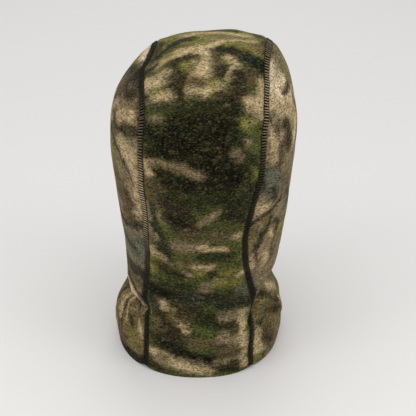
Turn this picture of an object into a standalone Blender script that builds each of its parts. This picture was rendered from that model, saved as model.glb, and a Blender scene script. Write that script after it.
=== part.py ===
"""Pull-on fleece face mask: a crown panel and two side panels joined by flatlock seams, with a bound eye opening.

Frame: metres, +Z up, the face towards -Y, the wearer's left towards +X. The origin is the bottom centre of
the whole part's box, on the floor that the hem stands on.
"""

import bmesh
import bpy
import numpy as np
from mathutils import Matrix

# ---------------------------------------------------------------- driving dimensions
HEIGHT = 0.328

# Stations up the hood: height, half width, depth behind the X axis, depth in front of it, and half the
# width of the crown panel where its seams pass that height on the back.
HEM = {"level": 0.0, "half_width": 0.084, "back": 0.085, "front": 0.094, "seam": 0.0515}
LIP = {"level": 0.018, "half_width": 0.086, "back": 0.085, "front": 0.094, "seam": 0.051}
SKIRT = {"level": 0.045, "half_width": 0.080, "back": 0.083, "front": 0.090, "seam": 0.051}
NECK = {"level": 0.080, "half_width": 0.0745, "back": 0.077, "front": 0.088, "seam": 0.0505}
JAW = {"level": 0.120, "half_width": 0.0785, "back": 0.084, "front": 0.096, "seam": 0.0475}
CHEEK = {"level": 0.165, "half_width": 0.0835, "back": 0.095, "front": 0.100, "seam": 0.0475}
HEAD = {"level": 0.240, "half_width": 0.089, "back": 0.101, "front": 0.098, "seam": 0.056}
STATIONS = (HEM, LIP, SKIRT, NECK, JAW, CHEEK, HEAD)

CROWN_SEAM = 0.053  # half the crown panel's width on top of the head
BROW_SEAM = 0.046  # and where it ends at the eye opening

# How square the sections are: 2 is an ellipse.
BACK_POWER = 2.15
FRONT_POWER = 2.3
CROWN_POWER = 2.15

NOSE_LEVEL = 0.162
NOSE_STANDS_OUT = 0.009
NOSE_HALF_WIDTH = 0.023
NOSE_HALF_HEIGHT = 0.028

EYE_LEVEL = 0.207
EYE_HALF_WIDTH = 0.068
EYE_HALF_HEIGHT = 0.027
EYE_POWER = 2.6

FLEECE = 0.0024
SEAM_GAP = 0.0003

THREAD_BAND_WIDTH = 0.005
THREAD_BAND_THICKNESS = 0.0006
OUTER_CLEARANCE = 0.0005
INNER_CLEARANCE = 0.0009

BINDING_WIDTH = 0.009
BINDING_THICKNESS = 0.001
BINDING_OUTER_CLEARANCE = 0.0009
BINDING_INNER_CLEARANCE = 0.0018
BINDING_STITCH_WIDTH = 0.004
BINDING_STITCH_THICKNESS = 0.0005
BINDING_STITCH_CLEARANCE = 0.0004
ELASTIC_RADIUS = 0.0009
ELASTIC_CLEARANCE = 0.0004

LABEL_WIDTH = 0.018
LABEL_HEIGHT = 0.030
LABEL_THICKNESS = 0.0005
LABEL_LEVEL = 0.024
LABEL_CLEARANCE = 0.0010
LABEL_STITCH_HEIGHT = 0.0012
LABEL_STITCH_INSET = 0.002
LABEL_STITCH_CLEARANCE = 0.0005

# ---------------------------------------------------------------- how finely the pieces are faceted
ROWS_TO_HEAD = 26
ROWS_OVER_CROWN = 20
CROWN_COLUMNS = 8
SIDE_COLUMNS = 17
OPENING_STEPS = 60
FINER = 0.55  # how much closer together the columns get towards the front

# Which height on the back seam the side panel's rows start from to end at the foot of the eye opening,
# and at the two ends of its rounded outer corner, by share of the half opening's edge.
ROW_TO_OPENING = 0.130
ROW_TO_CORNER, CORNER_START = 0.175, 0.42
ROW_PAST_CORNER, CORNER_END = 0.240, 0.68
ELASTIC_SIDES = 6

CORNER_CUT = 0.0015  # the side panels' corner at the brow, hidden under the binding
FARTHEST = 0.5
CROWN_RADIUS = 0.09
HALVINGS = 44
NUDGE = 5e-5


# ---------------------------------------------------------------- the hood's surface
def station_curve(field, height):
    """A smooth curve through one field of the stations, upright where it reaches the head's widest level."""
    levels = np.array([s["level"] for s in STATIONS])
    values = np.array([s[field] for s in STATIONS])
    slopes = np.zeros(len(levels))
    slopes[1:-1] = (values[2:] - values[:-2]) / (levels[2:] - levels[:-2])
    slopes[0] = (values[1] - values[0]) / (levels[1] - levels[0])
    height = np.clip(height, levels[0], levels[-1])
    i = np.clip(np.searchsorted(levels, height, side="right") - 1, 0, len(levels) - 2)
    span = levels[i + 1] - levels[i]
    t = (height - levels[i]) / span
    rise = t * t * (3 - 2 * t)
    start_pull = t * (1 - t) ** 2 * span * slopes[i]
    end_pull = t * t * (t - 1) * span * slopes[i + 1]
    return values[i] + rise * (values[i + 1] - values[i]) + start_pull + end_pull


def reach(points):
    """How far out a point is, as a share of the way to the surface: 1 is on it."""
    x, y, z = np.moveaxis(points, -1, 0)
    nose = NOSE_STANDS_OUT * np.exp(-((x / NOSE_HALF_WIDTH) ** 2) - ((z - NOSE_LEVEL) / NOSE_HALF_HEIGHT) ** 2)
    depth = np.where(y > 0, station_curve("back", z), station_curve("front", z) + nose)
    power = np.where(y > 0, BACK_POWER, FRONT_POWER)
    across = (np.abs(x / station_curve("half_width", z)) ** power + np.abs(y / depth) ** power) ** (1 / power)
    above = np.maximum(z - HEAD["level"], 0) / (HEIGHT - HEAD["level"])
    return (across**CROWN_POWER + above**CROWN_POWER) ** (1 / CROWN_POWER)


def cast(starts, directions):
    """Where rays from inside the hood meet its surface."""
    starts, directions = np.broadcast_arrays(starts, directions)
    near = np.zeros(starts.shape[:-1])
    far = np.full(starts.shape[:-1], FARTHEST)
    for _ in range(HALVINGS):
        middle = (near + far) / 2
        inside = reach(starts + middle[..., None] * directions) < 1
        near = np.where(inside, middle, near)
        far = np.where(inside, far, middle)
    return starts + near[..., None] * directions


def unit(vectors):
    return vectors / np.linalg.norm(vectors, axis=-1, keepdims=True)


def spread_out(points):
    """Points near the surface as (turn from the back round the wearer's left, height up the cloth)."""
    x, y, z = np.moveaxis(points, -1, 0)
    above = np.maximum(z - HEAD["level"], 0)
    up = np.minimum(z, HEAD["level"]) + CROWN_RADIUS * np.arctan2(above, np.hypot(x, y))
    return np.stack([np.arctan2(x, y), up], axis=-1)


def wrapped_on(places):
    """The surface points at places that spread_out gives."""
    turn, up = np.moveaxis(places, -1, 0)
    lift = np.maximum(up - HEAD["level"], 0) / CROWN_RADIUS
    start = np.stack([np.zeros_like(up), np.zeros_like(up), np.minimum(up, HEAD["level"])], axis=-1)
    towards = [np.cos(lift) * np.sin(turn), np.cos(lift) * np.cos(turn), np.sin(lift)]
    return cast(start, np.stack(towards, axis=-1))


def onto_surface(points):
    return wrapped_on(spread_out(points))


def normals_of(points):
    steps = NUDGE * np.eye(3)
    slopes = [reach(points + step) - reach(points - step) for step in steps]
    return unit(np.stack(slopes, axis=-1))


def at_height(x, z, towards):
    """The surface point at this x and height, on the back (+1) or the front (-1)."""
    x, z = np.broadcast_arrays(np.asarray(x, float), np.asarray(z, float))
    start = np.stack([x, np.zeros_like(x), z], axis=-1)
    return cast(start, np.array([0.0, towards, 0.0]))


def over_crown(x, turn):
    """The surface point at this x, turn radians from level behind, up over the crown and down in front."""
    x, turn = np.broadcast_arrays(np.asarray(x, float), np.asarray(turn, float))
    start = np.stack([x, np.zeros_like(x), np.full_like(x, HEAD["level"])], axis=-1)
    return cast(start, np.stack([np.zeros_like(x), np.cos(turn), np.sin(turn)], axis=-1))


# ---------------------------------------------------------------- edges of the pattern pieces
def opening_top(x):
    """The height of the eye opening's upper edge at this x."""
    return EYE_LEVEL + EYE_HALF_HEIGHT * (1 - np.abs(x / EYE_HALF_WIDTH) ** EYE_POWER) ** (1 / EYE_POWER)


def brow_turn(x):
    """How far over the crown the eye opening's upper edge is at this x."""
    edge = at_height(x, opening_top(x), -1)
    return np.pi - np.arctan2(edge[..., 2] - HEAD["level"], -edge[..., 1])


def crown_half_width(share):
    """Half the crown panel's width at this share of the way from the back of the head to the brow."""
    to_top = np.clip(2 * share, 0, 1)
    to_brow = np.clip(2 * share - 1, 0, 1)
    ease = (1 - np.cos(np.pi * to_top)) / 2
    return HEAD["seam"] + ease * (CROWN_SEAM - HEAD["seam"]) + to_brow**2 * (BROW_SEAM - CROWN_SEAM)


def opening_edge(angle):
    """The eye opening's edge, by the angle round it from bottom centre through the wearer's left."""
    across, up = np.sin(angle), -np.cos(angle)
    x = EYE_HALF_WIDTH * np.sign(across) * np.abs(across) ** (2 / EYE_POWER)
    z = EYE_LEVEL + EYE_HALF_HEIGHT * np.sign(up) * np.abs(up) ** (2 / EYE_POWER)
    return at_height(x, z, -1)


def points_along(line, lengths):
    """Points at these lengths along a polyline."""
    along = np.concatenate([[0], np.cumsum(np.linalg.norm(np.diff(line, axis=0), axis=1))])
    return np.stack([np.interp(lengths, along, line[:, k]) for k in range(3)], axis=-1)


OPENING_BOTTOM = EYE_LEVEL - EYE_HALF_HEIGHT
LOW_HEIGHTS = np.linspace(0, HEAD["level"], ROWS_TO_HEAD + 1)
CROWN_SHARES = np.linspace(0, 1, ROWS_OVER_CROWN + 1)[1:]


def crown_row_points(share_across, shift=0.0):
    """A lengthwise line of the crown panel, from the hem up the back and over to the brow.

    share_across runs from -1 at the wearer's right seam to 1 at the left seam, and shift moves the line in X.
    """
    low_x = share_across * station_curve("seam", LOW_HEIGHTS) + shift
    low = at_height(low_x, LOW_HEIGHTS, 1)
    high_x = share_across * crown_half_width(CROWN_SHARES) + shift
    end = brow_turn(share_across * BROW_SEAM + shift)
    return np.concatenate([low, over_crown(high_x, CROWN_SHARES * end)])


def opening_half(steps=400):
    """The opening's edge from bottom centre, round the wearer's left corner, to the left seam at the brow."""
    edge = opening_edge(np.linspace(0, np.pi, steps))
    to_keep = (edge[:, 2] < EYE_LEVEL) | (edge[:, 0] > BROW_SEAM)
    corner = at_height(BROW_SEAM, opening_top(BROW_SEAM), -1)
    return np.concatenate([edge[to_keep], corner[None]])


# ---------------------------------------------------------------- making solids
def material(name, colour, roughness, metallic=0.0):
    made = bpy.data.materials.new(name)
    made.use_nodes = True
    shader = made.node_tree.nodes["Principled BSDF"]
    shader.inputs["Base Color"].default_value = (*colour, 1.0)
    shader.inputs["Roughness"].default_value = roughness
    shader.inputs["Metallic"].default_value = metallic
    return made


def add_object(name, vertices, faces, look):
    """One closed solid, with its faces turned outwards and smooth across its soft bends."""
    mesh = bpy.data.meshes.new(name)
    mesh.from_pydata([tuple(v) for v in vertices], [], [tuple(int(i) for i in f) for f in faces])
    shape = bmesh.new()
    shape.from_mesh(mesh)
    bmesh.ops.recalc_face_normals(shape, faces=shape.faces)
    shape.to_mesh(mesh)
    shape.free()
    mesh.shade_smooth()
    mesh.set_sharp_from_angle(angle=np.radians(50))
    mesh.materials.append(look)
    made = bpy.data.objects.new(name, mesh)
    bpy.context.scene.collection.objects.link(made)
    return made


def grid_faces(rows, columns, first, close_rows=False):
    """The quads of a rows by columns grid of vertices that starts at number first."""
    last = rows if close_rows else rows - 1
    quads = []
    for i in range(last):
        for j in range(columns - 1):
            a = first + i * columns + j
            b = first + (i + 1) % rows * columns + j
            quads.append((a, a + 1, b + 1, b))
    return quads


def add_layer(name, grid, look, outside=0.0, thickness=FLEECE, on_floor=False):
    """A sheet of cloth that follows a grid of surface points, its outer face that far outside the surface."""
    rows, columns = grid.shape[:2]
    normals = normals_of(grid)
    outer = grid + outside * normals
    inner = outer - thickness * normals
    if on_floor:
        outer[0, :, 2] = 0
        inner[0, :, 2] = 0
    vertices = np.concatenate([outer.reshape(-1, 3), inner.reshape(-1, 3)])
    below = rows * columns
    faces = grid_faces(rows, columns, 0)
    faces += [tuple(reversed(quad)) for quad in grid_faces(rows, columns, below)]
    top_row = (rows - 1) * columns
    rim = list(range(columns))
    rim += [i * columns + columns - 1 for i in range(1, rows)]
    rim += [top_row + j for j in range(columns - 2, -1, -1)]
    rim += [i * columns for i in range(rows - 2, 0, -1)]
    for a, b in zip(rim, rim[1:] + rim[:1], strict=True):
        faces.append((b, a, below + a, below + b))
    return add_object(name, vertices, faces, look)


def add_sweep(name, sections, look, closed):
    """A solid through a row of sections, each a loop of as many points."""
    count, sides = sections.shape[:2]
    faces = []
    for i in range(count if closed else count - 1):
        here, there = i * sides, (i + 1) % count * sides
        for j in range(sides):
            k = (j + 1) % sides
            faces.append((here + j, here + k, there + k, there + j))
    if not closed:
        faces.append(tuple(range(sides - 1, -1, -1)))
        faces.append(tuple(range((count - 1) * sides, count * sides)))
    return add_object(name, sections.reshape(-1, 3), faces, look)


def band_sections(line, width, low, high):
    """Flat rectangles across a line on the surface, from low to high metres outside it."""
    normals = normals_of(line)
    forward = unit(np.gradient(line, axis=0))
    sideways = unit(np.cross(normals, forward)) * width / 2
    corners = [
        line + sideways + low * normals,
        line - sideways + low * normals,
        line - sideways + high * normals,
        line + sideways + high * normals,
    ]
    return np.stack(corners, axis=1)


def outer_band(name, line, look):
    """The thread that shows along a seam, outside the cloth."""
    high = OUTER_CLEARANCE + THREAD_BAND_THICKNESS
    sections = band_sections(line, THREAD_BAND_WIDTH, OUTER_CLEARANCE, high)
    return add_sweep(name, lifted_off_floor(sections), look, closed=False)


def inner_band(name, line, look):
    """The thread along the same seam, inside the hood."""
    high = -FLEECE - INNER_CLEARANCE
    sections = band_sections(line, THREAD_BAND_WIDTH, high - THREAD_BAND_THICKNESS, high)
    return add_sweep(name, lifted_off_floor(sections), look, closed=False)


def lifted_off_floor(sections):
    sections[..., 2] = np.maximum(sections[..., 2], SEAM_GAP)
    return sections


# ---------------------------------------------------------------- the pieces
def crown_panel_grid():
    columns = []
    for share in np.linspace(-1, 1, CROWN_COLUMNS + 1):
        shift = -np.sign(share) * SEAM_GAP / 2 if abs(share) == 1 else 0.0
        columns.append(crown_row_points(share, shift))
    return np.stack(columns, axis=1)


def front_edge_points(rows):
    """Where the side panel's rows end: up the front seam, then round the half opening to the brow."""
    half = opening_half()
    round_half = np.linalg.norm(np.diff(half, axis=0), axis=1).sum()
    below = at_height(SEAM_GAP / 2, np.linspace(0, OPENING_BOTTOM, 200), -1)[:-1]
    half[0] = at_height(SEAM_GAP / 2, OPENING_BOTTOM, -1)
    to_opening = np.linalg.norm(np.diff(np.concatenate([below, half[:1]]), axis=0), axis=1).sum()
    stops = [0, ROW_TO_OPENING, ROW_TO_CORNER, ROW_PAST_CORNER, HEAD["level"] + 1]
    lengths = [0, to_opening, to_opening + CORNER_START * round_half, to_opening + CORNER_END * round_half]
    lengths.append(to_opening + round_half - CORNER_CUT)
    return points_along(np.concatenate([below, half]), np.interp(rows, stops, lengths))


def side_panel_grid():
    """The wearer's left side panel: rows from the back seam round to the front seam and the eye opening."""
    back = crown_row_points(1.0, SEAM_GAP / 2)
    to_corner = np.linalg.norm(back[-1] - back[-2])
    back[-1] = onto_surface(back[-1] + (back[-2] - back[-1]) * CORNER_CUT / to_corner)
    front = front_edge_points(np.concatenate([LOW_HEIGHTS, HEAD["level"] + CROWN_SHARES]))
    even = np.linspace(0, 1, SIDE_COLUMNS + 1)
    shares = ((1 - FINER) * even + FINER * (1 - (1 - even) ** 2))[None, :, None]
    places = (1 - shares) * spread_out(back)[:, None] + shares * spread_out(front)[:, None]
    grid = wrapped_on(places)
    grid[:, 0], grid[:, -1] = back, front
    return grid


def mirrored(points):
    return points * np.array([-1.0, 1.0, 1.0])


def seam_line():
    """The left seam's middle, ending clear of the binding."""
    line = crown_row_points(1.0)
    along = np.concatenate([[0], np.cumsum(np.linalg.norm(np.diff(line, axis=0), axis=1))])
    stop = along[-1] - BINDING_WIDTH - THREAD_BAND_WIDTH / 2
    end = onto_surface(points_along(line, np.array([stop])))
    return np.concatenate([line[along < stop - THREAD_BAND_WIDTH / 2], end])


def front_seam_line():
    """The front seam's middle, from the hem to just under the binding."""
    stop = OPENING_BOTTOM - BINDING_WIDTH - THREAD_BAND_WIDTH / 2
    heights = LOW_HEIGHTS[LOW_HEIGHTS < stop - THREAD_BAND_WIDTH / 2]
    return at_height(0.0, np.append(heights, stop), -1)


def round_opening(section):
    """Loops that carry a section round the eye opening. Its points are (metres out from the edge, metres outside)."""
    edge = opening_edge(np.linspace(0, 2 * np.pi, OPENING_STEPS + 1)[:-1])
    forward = unit(np.roll(edge, -1, axis=0) - np.roll(edge, 1, axis=0))
    outwards = unit(np.cross(forward, normals_of(edge)))
    away = np.sum(outwards * (edge - np.array([0, edge[:, 1].mean(), EYE_LEVEL])), axis=1)
    outwards *= np.sign(away.sum())
    loops = []
    for out, lift in section:
        base = onto_surface(edge + out * outwards)
        loops.append(base + lift * normals_of(base))
    return np.stack(loops, axis=1)


FOLD = 2 * (ELASTIC_RADIUS + ELASTIC_CLEARANCE)
OUTER_FLANGE = BINDING_OUTER_CLEARANCE
INNER_FLANGE = -FLEECE - BINDING_INNER_CLEARANCE


def binding_section():
    """A folded strip, from the outer flange round the cloth's edge to the inner flange."""
    stops = (BINDING_WIDTH, BINDING_WIDTH / 2, 0.0, -FOLD)
    folded_in = [(out, OUTER_FLANGE) for out in stops]
    folded_in += [(out, INNER_FLANGE) for out in reversed(stops)]
    outer_fold = -FOLD - BINDING_THICKNESS
    stops_outside = (BINDING_WIDTH, BINDING_WIDTH / 2, 0.0, outer_fold)
    wrapped = [(out, INNER_FLANGE - BINDING_THICKNESS) for out in stops_outside]
    wrapped += [(out, OUTER_FLANGE + BINDING_THICKNESS) for out in reversed(stops_outside)]
    return folded_in + wrapped


def elastic_section():
    angles = np.linspace(0, 2 * np.pi, ELASTIC_SIDES + 1)[:-1]
    middle_out = -FOLD / 2
    middle_lift = (OUTER_FLANGE + INNER_FLANGE) / 2
    return [(middle_out + ELASTIC_RADIUS * np.cos(a), middle_lift + ELASTIC_RADIUS * np.sin(a)) for a in angles]


def binding_stitch_section(low):
    middle = BINDING_WIDTH / 2
    near, far = middle - BINDING_STITCH_WIDTH / 2, middle + BINDING_STITCH_WIDTH / 2
    high = low + BINDING_STITCH_THICKNESS
    return [(near, low), (middle, low), (far, low), (far, high), (middle, high), (near, high)]


def label_grid(width, low, high, columns, rows):
    x = np.linspace(-width / 2, width / 2, columns + 1)[None, :]
    z = np.linspace(low, high, rows + 1)[:, None]
    return at_height(x, z, 1)


def add_panels(fleece):
    add_layer("crown_panel", crown_panel_grid(), fleece, on_floor=True)
    side = side_panel_grid()
    add_layer("left_side_panel", side, fleece, on_floor=True)
    add_layer("right_side_panel", mirrored(side), fleece, on_floor=True)


def add_seams(thread):
    left = seam_line()
    for side, line in (("left", left), ("right", mirrored(left)), ("front", front_seam_line())):
        outer_band(f"{side}_seam_outer_thread", line, thread)
        inner_band(f"{side}_seam_inner_thread", line, thread)


def add_opening_trim(binding, elastic, thread):
    add_sweep("eye_opening_binding", round_opening(binding_section()), binding, closed=True)
    add_sweep("eye_opening_elastic", round_opening(elastic_section()), elastic, closed=True)
    above = OUTER_FLANGE + BINDING_THICKNESS + BINDING_STITCH_CLEARANCE
    add_sweep("binding_outer_stitch", round_opening(binding_stitch_section(above)), thread, closed=True)
    under = INNER_FLANGE - BINDING_THICKNESS - BINDING_STITCH_CLEARANCE - BINDING_STITCH_THICKNESS
    add_sweep("binding_inner_stitch", round_opening(binding_stitch_section(under)), thread, closed=True)


def add_label(satin, thread):
    top = LABEL_LEVEL + LABEL_HEIGHT
    face = -FLEECE - LABEL_CLEARANCE
    sheet = label_grid(LABEL_WIDTH, LABEL_LEVEL, top, 3, 3)
    add_layer("care_label", sheet, satin, outside=face, thickness=LABEL_THICKNESS)
    stitch_top = top - LABEL_STITCH_INSET
    row = label_grid(
        LABEL_WIDTH - 2 * LABEL_STITCH_INSET, stitch_top - LABEL_STITCH_HEIGHT, stitch_top, 3, 1
    )
    behind = face - LABEL_THICKNESS - LABEL_STITCH_CLEARANCE
    add_layer("care_label_stitch", row, thread, outside=behind, thickness=THREAD_BAND_THICKNESS)


def centre_on_floor():
    """Moves every piece so that the whole part's box stands on Z = 0 and is centred on the Z axis."""
    meshes = [piece.data for piece in bpy.data.objects]
    points = np.array([corner.co for mesh in meshes for corner in mesh.vertices])
    low, high = points.min(axis=0), points.max(axis=0)
    middle = (low + high) / 2
    for mesh in meshes:
        mesh.transform(Matrix.Translation((-middle[0], -middle[1], -low[2])))


def main():
    for old in list(bpy.data.objects):
        bpy.data.objects.remove(old, do_unlink=True)
    fleece = material("camo_fleece", (0.17, 0.15, 0.08), 0.95)
    binding = material("binding_knit", (0.06, 0.055, 0.035), 0.85)
    elastic = material("elastic_cord", (0.55, 0.53, 0.48), 0.7)
    thread = material("seam_thread", (0.26, 0.21, 0.13), 0.6)
    satin = material("label_satin", (0.72, 0.71, 0.67), 0.45)
    add_panels(fleece)
    add_seams(thread)
    add_opening_trim(binding, elastic, thread)
    add_label(satin, thread)
    centre_on_floor()


main()
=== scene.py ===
import math

import bpy
import numpy as np
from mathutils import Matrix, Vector


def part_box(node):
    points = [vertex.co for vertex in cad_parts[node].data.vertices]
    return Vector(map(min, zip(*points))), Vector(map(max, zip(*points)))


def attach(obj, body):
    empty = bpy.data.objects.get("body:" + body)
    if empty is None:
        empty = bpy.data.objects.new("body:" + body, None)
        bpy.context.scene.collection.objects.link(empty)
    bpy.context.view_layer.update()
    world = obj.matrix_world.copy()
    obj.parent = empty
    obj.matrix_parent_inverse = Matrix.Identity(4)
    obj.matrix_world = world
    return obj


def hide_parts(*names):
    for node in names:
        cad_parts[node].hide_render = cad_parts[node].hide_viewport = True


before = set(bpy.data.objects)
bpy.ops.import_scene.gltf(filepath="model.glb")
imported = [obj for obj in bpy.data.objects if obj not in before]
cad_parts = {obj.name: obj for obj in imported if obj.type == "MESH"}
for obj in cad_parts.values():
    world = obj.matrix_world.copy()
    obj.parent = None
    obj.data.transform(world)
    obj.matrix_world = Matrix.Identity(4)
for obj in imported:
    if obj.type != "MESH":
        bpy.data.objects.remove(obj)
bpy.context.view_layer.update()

# ---------------------------------------------------------------- the hood's surface, as the CAD has it
HEIGHT = 0.328
HEM = {"level": 0.0, "half_width": 0.084, "back": 0.085, "front": 0.094, "seam": 0.0515}
LIP = {"level": 0.018, "half_width": 0.086, "back": 0.085, "front": 0.094, "seam": 0.051}
SKIRT = {"level": 0.045, "half_width": 0.080, "back": 0.083, "front": 0.090, "seam": 0.051}
NECK = {"level": 0.080, "half_width": 0.0745, "back": 0.077, "front": 0.088, "seam": 0.0505}
JAW = {"level": 0.120, "half_width": 0.0785, "back": 0.084, "front": 0.096, "seam": 0.0475}
CHEEK = {"level": 0.165, "half_width": 0.0835, "back": 0.095, "front": 0.100, "seam": 0.0475}
HEAD = {"level": 0.240, "half_width": 0.089, "back": 0.101, "front": 0.098, "seam": 0.056}
STATIONS = (HEM, LIP, SKIRT, NECK, JAW, CHEEK, HEAD)
CROWN_SEAM = 0.053
BROW_SEAM = 0.046
BACK_POWER = 2.15
FRONT_POWER = 2.3
CROWN_POWER = 2.15
NOSE_LEVEL = 0.162
NOSE_STANDS_OUT = 0.009
NOSE_HALF_WIDTH = 0.023
NOSE_HALF_HEIGHT = 0.028
EYE_LEVEL = 0.207
EYE_HALF_WIDTH = 0.068
EYE_HALF_HEIGHT = 0.027
EYE_POWER = 2.6
FLEECE = 0.0024
BINDING_WIDTH = 0.009
CROWN_RADIUS = 0.09
ROW_TO_OPENING = 0.130
ROW_TO_CORNER, CORNER_START = 0.175, 0.42
ROW_PAST_CORNER, CORNER_END = 0.240, 0.68
OPENING_BOTTOM = EYE_LEVEL - EYE_HALF_HEIGHT
FINER = 0.25  # how much closer the side panels' columns stand towards the front
SEAM_GAP = 0.0003
SEARCH_REACH, HALVINGS = 0.3, 26
PROBE = 5e-5

# The shape is made about its own axis, and then moved to where the CAD stands.
TO_CAD = np.array([0.0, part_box("crown_panel")[1][1] - HEAD["back"], 0.0])


def station_curve(field, height):
    levels = np.array([s["level"] for s in STATIONS])
    values = np.array([s[field] for s in STATIONS])
    slopes = np.zeros(len(levels))
    slopes[1:-1] = (values[2:] - values[:-2]) / (levels[2:] - levels[:-2])
    slopes[0] = (values[1] - values[0]) / (levels[1] - levels[0])
    height = np.clip(height, levels[0], levels[-1])
    i = np.clip(np.searchsorted(levels, height, side="right") - 1, 0, len(levels) - 2)
    span = levels[i + 1] - levels[i]
    t = (height - levels[i]) / span
    rise = t * t * (3 - 2 * t)
    start_pull = t * (1 - t) ** 2 * span * slopes[i]
    end_pull = t * t * (t - 1) * span * slopes[i + 1]
    return values[i] + rise * (values[i + 1] - values[i]) + start_pull + end_pull


def reach(points):
    """1 on the surface, less inside and more outside."""
    x, y, z = np.moveaxis(points, -1, 0)
    from_nose = (x / NOSE_HALF_WIDTH) ** 2 + ((z - NOSE_LEVEL) / NOSE_HALF_HEIGHT) ** 2
    nose = NOSE_STANDS_OUT * np.exp(-from_nose)
    depth = np.where(y > 0, station_curve("back", z), station_curve("front", z) + nose)
    power = np.where(y > 0, BACK_POWER, FRONT_POWER)
    across = np.abs(x / station_curve("half_width", z)) ** power + np.abs(y / depth) ** power
    across = across ** (1 / power)
    above = np.maximum(z - HEAD["level"], 0) / (HEIGHT - HEAD["level"])
    return (across**CROWN_POWER + above**CROWN_POWER) ** (1 / CROWN_POWER)


def cast(starts, directions):
    """Where lines from inside the hood meet its surface."""
    starts, directions = np.broadcast_arrays(starts, directions)
    near = np.zeros(starts.shape[:-1])
    far = np.full(starts.shape[:-1], SEARCH_REACH)
    for _ in range(HALVINGS):
        middle = (near + far) / 2
        inside = reach(starts + middle[..., None] * directions) < 1
        near = np.where(inside, middle, near)
        far = np.where(inside, far, middle)
    return starts + near[..., None] * directions


def unit(vectors):
    return vectors / np.maximum(np.linalg.norm(vectors, axis=-1, keepdims=True), 1e-12)


def spread_out(points):
    """Points near the surface as (turn from the back round the wearer's left, height up the cloth)."""
    x, y, z = np.moveaxis(points, -1, 0)
    above = np.maximum(z - HEAD["level"], 0)
    up = np.minimum(z, HEAD["level"]) + CROWN_RADIUS * np.arctan2(above, np.hypot(x, y))
    return np.stack([np.arctan2(x, y), up], axis=-1)


def wrapped_on(places):
    turn, up = np.moveaxis(places, -1, 0)
    lift = np.maximum(up - HEAD["level"], 0) / CROWN_RADIUS
    start = np.stack([np.zeros_like(up), np.zeros_like(up), np.minimum(up, HEAD["level"])], axis=-1)
    towards = [np.cos(lift) * np.sin(turn), np.cos(lift) * np.cos(turn), np.sin(lift)]
    return cast(start, np.stack(towards, axis=-1))


def onto_surface(points):
    return wrapped_on(spread_out(points))


def normals_of(points):
    steps = PROBE * np.eye(3)
    slopes = [reach(points + step) - reach(points - step) for step in steps]
    return unit(np.stack(slopes, axis=-1))


def at_height(x, z, towards):
    x, z = np.broadcast_arrays(np.asarray(x, float), np.asarray(z, float))
    start = np.stack([x, np.zeros_like(x), z], axis=-1)
    return cast(start, np.array([0.0, towards, 0.0]))


def over_crown(x, turn):
    x, turn = np.broadcast_arrays(np.asarray(x, float), np.asarray(turn, float))
    start = np.stack([x, np.zeros_like(x), np.full_like(x, HEAD["level"])], axis=-1)
    return cast(start, np.stack([np.zeros_like(x), np.cos(turn), np.sin(turn)], axis=-1))


def opening_top(x):
    share = (1 - np.abs(x / EYE_HALF_WIDTH) ** EYE_POWER) ** (1 / EYE_POWER)
    return EYE_LEVEL + EYE_HALF_HEIGHT * share


def brow_turn(x):
    edge = at_height(x, opening_top(x), -1)
    return np.pi - np.arctan2(edge[..., 2] - HEAD["level"], -edge[..., 1])


def crown_half_width(share):
    to_top = np.clip(2 * share, 0, 1)
    to_brow = np.clip(2 * share - 1, 0, 1)
    ease = (1 - np.cos(np.pi * to_top)) / 2
    return HEAD["seam"] + ease * (CROWN_SEAM - HEAD["seam"]) + to_brow**2 * (BROW_SEAM - CROWN_SEAM)


def opening_edge(angle):
    across, up = np.sin(angle), -np.cos(angle)
    x = EYE_HALF_WIDTH * np.sign(across) * np.abs(across) ** (2 / EYE_POWER)
    z = EYE_LEVEL + EYE_HALF_HEIGHT * np.sign(up) * np.abs(up) ** (2 / EYE_POWER)
    return at_height(x, z, -1)


def lengths_along(line):
    return np.concatenate([[0], np.cumsum(np.linalg.norm(np.diff(line, axis=0), axis=1))])


def points_along(line, lengths):
    along = lengths_along(line)
    return np.stack([np.interp(lengths, along, line[:, k]) for k in range(3)], axis=-1)


# ---------------------------------------------------------------- how finely the cloth is made
FINE = 1.0
ROWS_TO_HEAD = int(170 * FINE)
ROWS_OVER_CROWN = int(190 * FINE)
CROWN_COLUMNS = int(76 * FINE)
SIDE_COLUMNS = int(168 * FINE)
LOW_HEIGHTS = np.linspace(0, HEAD["level"], ROWS_TO_HEAD + 1)
CROWN_SHARES = np.linspace(0, 1, ROWS_OVER_CROWN + 1)[1:]


def crown_row_points(share_across, shift=0.0):
    low_x = share_across * station_curve("seam", LOW_HEIGHTS) + shift
    low = at_height(low_x, LOW_HEIGHTS, 1)
    high_x = share_across * crown_half_width(CROWN_SHARES) + shift
    end = brow_turn(share_across * BROW_SEAM + shift)
    return np.concatenate([low, over_crown(high_x, CROWN_SHARES * end)])


def opening_half(steps=1200):
    edge = opening_edge(np.linspace(0, np.pi, steps))
    to_keep = (edge[:, 2] < EYE_LEVEL) | (edge[:, 0] > BROW_SEAM)
    corner = at_height(BROW_SEAM, opening_top(BROW_SEAM), -1)
    return np.concatenate([edge[to_keep], corner[None]])


def front_edge_points(rows):
    half = opening_half()
    round_half = np.linalg.norm(np.diff(half, axis=0), axis=1).sum()
    below = at_height(SEAM_GAP / 2, np.linspace(0, OPENING_BOTTOM, 200), -1)[:-1]
    half[0] = at_height(SEAM_GAP / 2, OPENING_BOTTOM, -1)
    to_opening = np.linalg.norm(np.diff(np.concatenate([below, half[:1]]), axis=0), axis=1).sum()
    stops = [0, ROW_TO_OPENING, ROW_TO_CORNER, ROW_PAST_CORNER, HEAD["level"] + 1]
    corner = [to_opening + share * round_half for share in (CORNER_START, CORNER_END)]
    lengths = [0, to_opening, *corner, to_opening + round_half - 0.0015]
    return points_along(np.concatenate([below, half]), np.interp(rows, stops, lengths))


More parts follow.
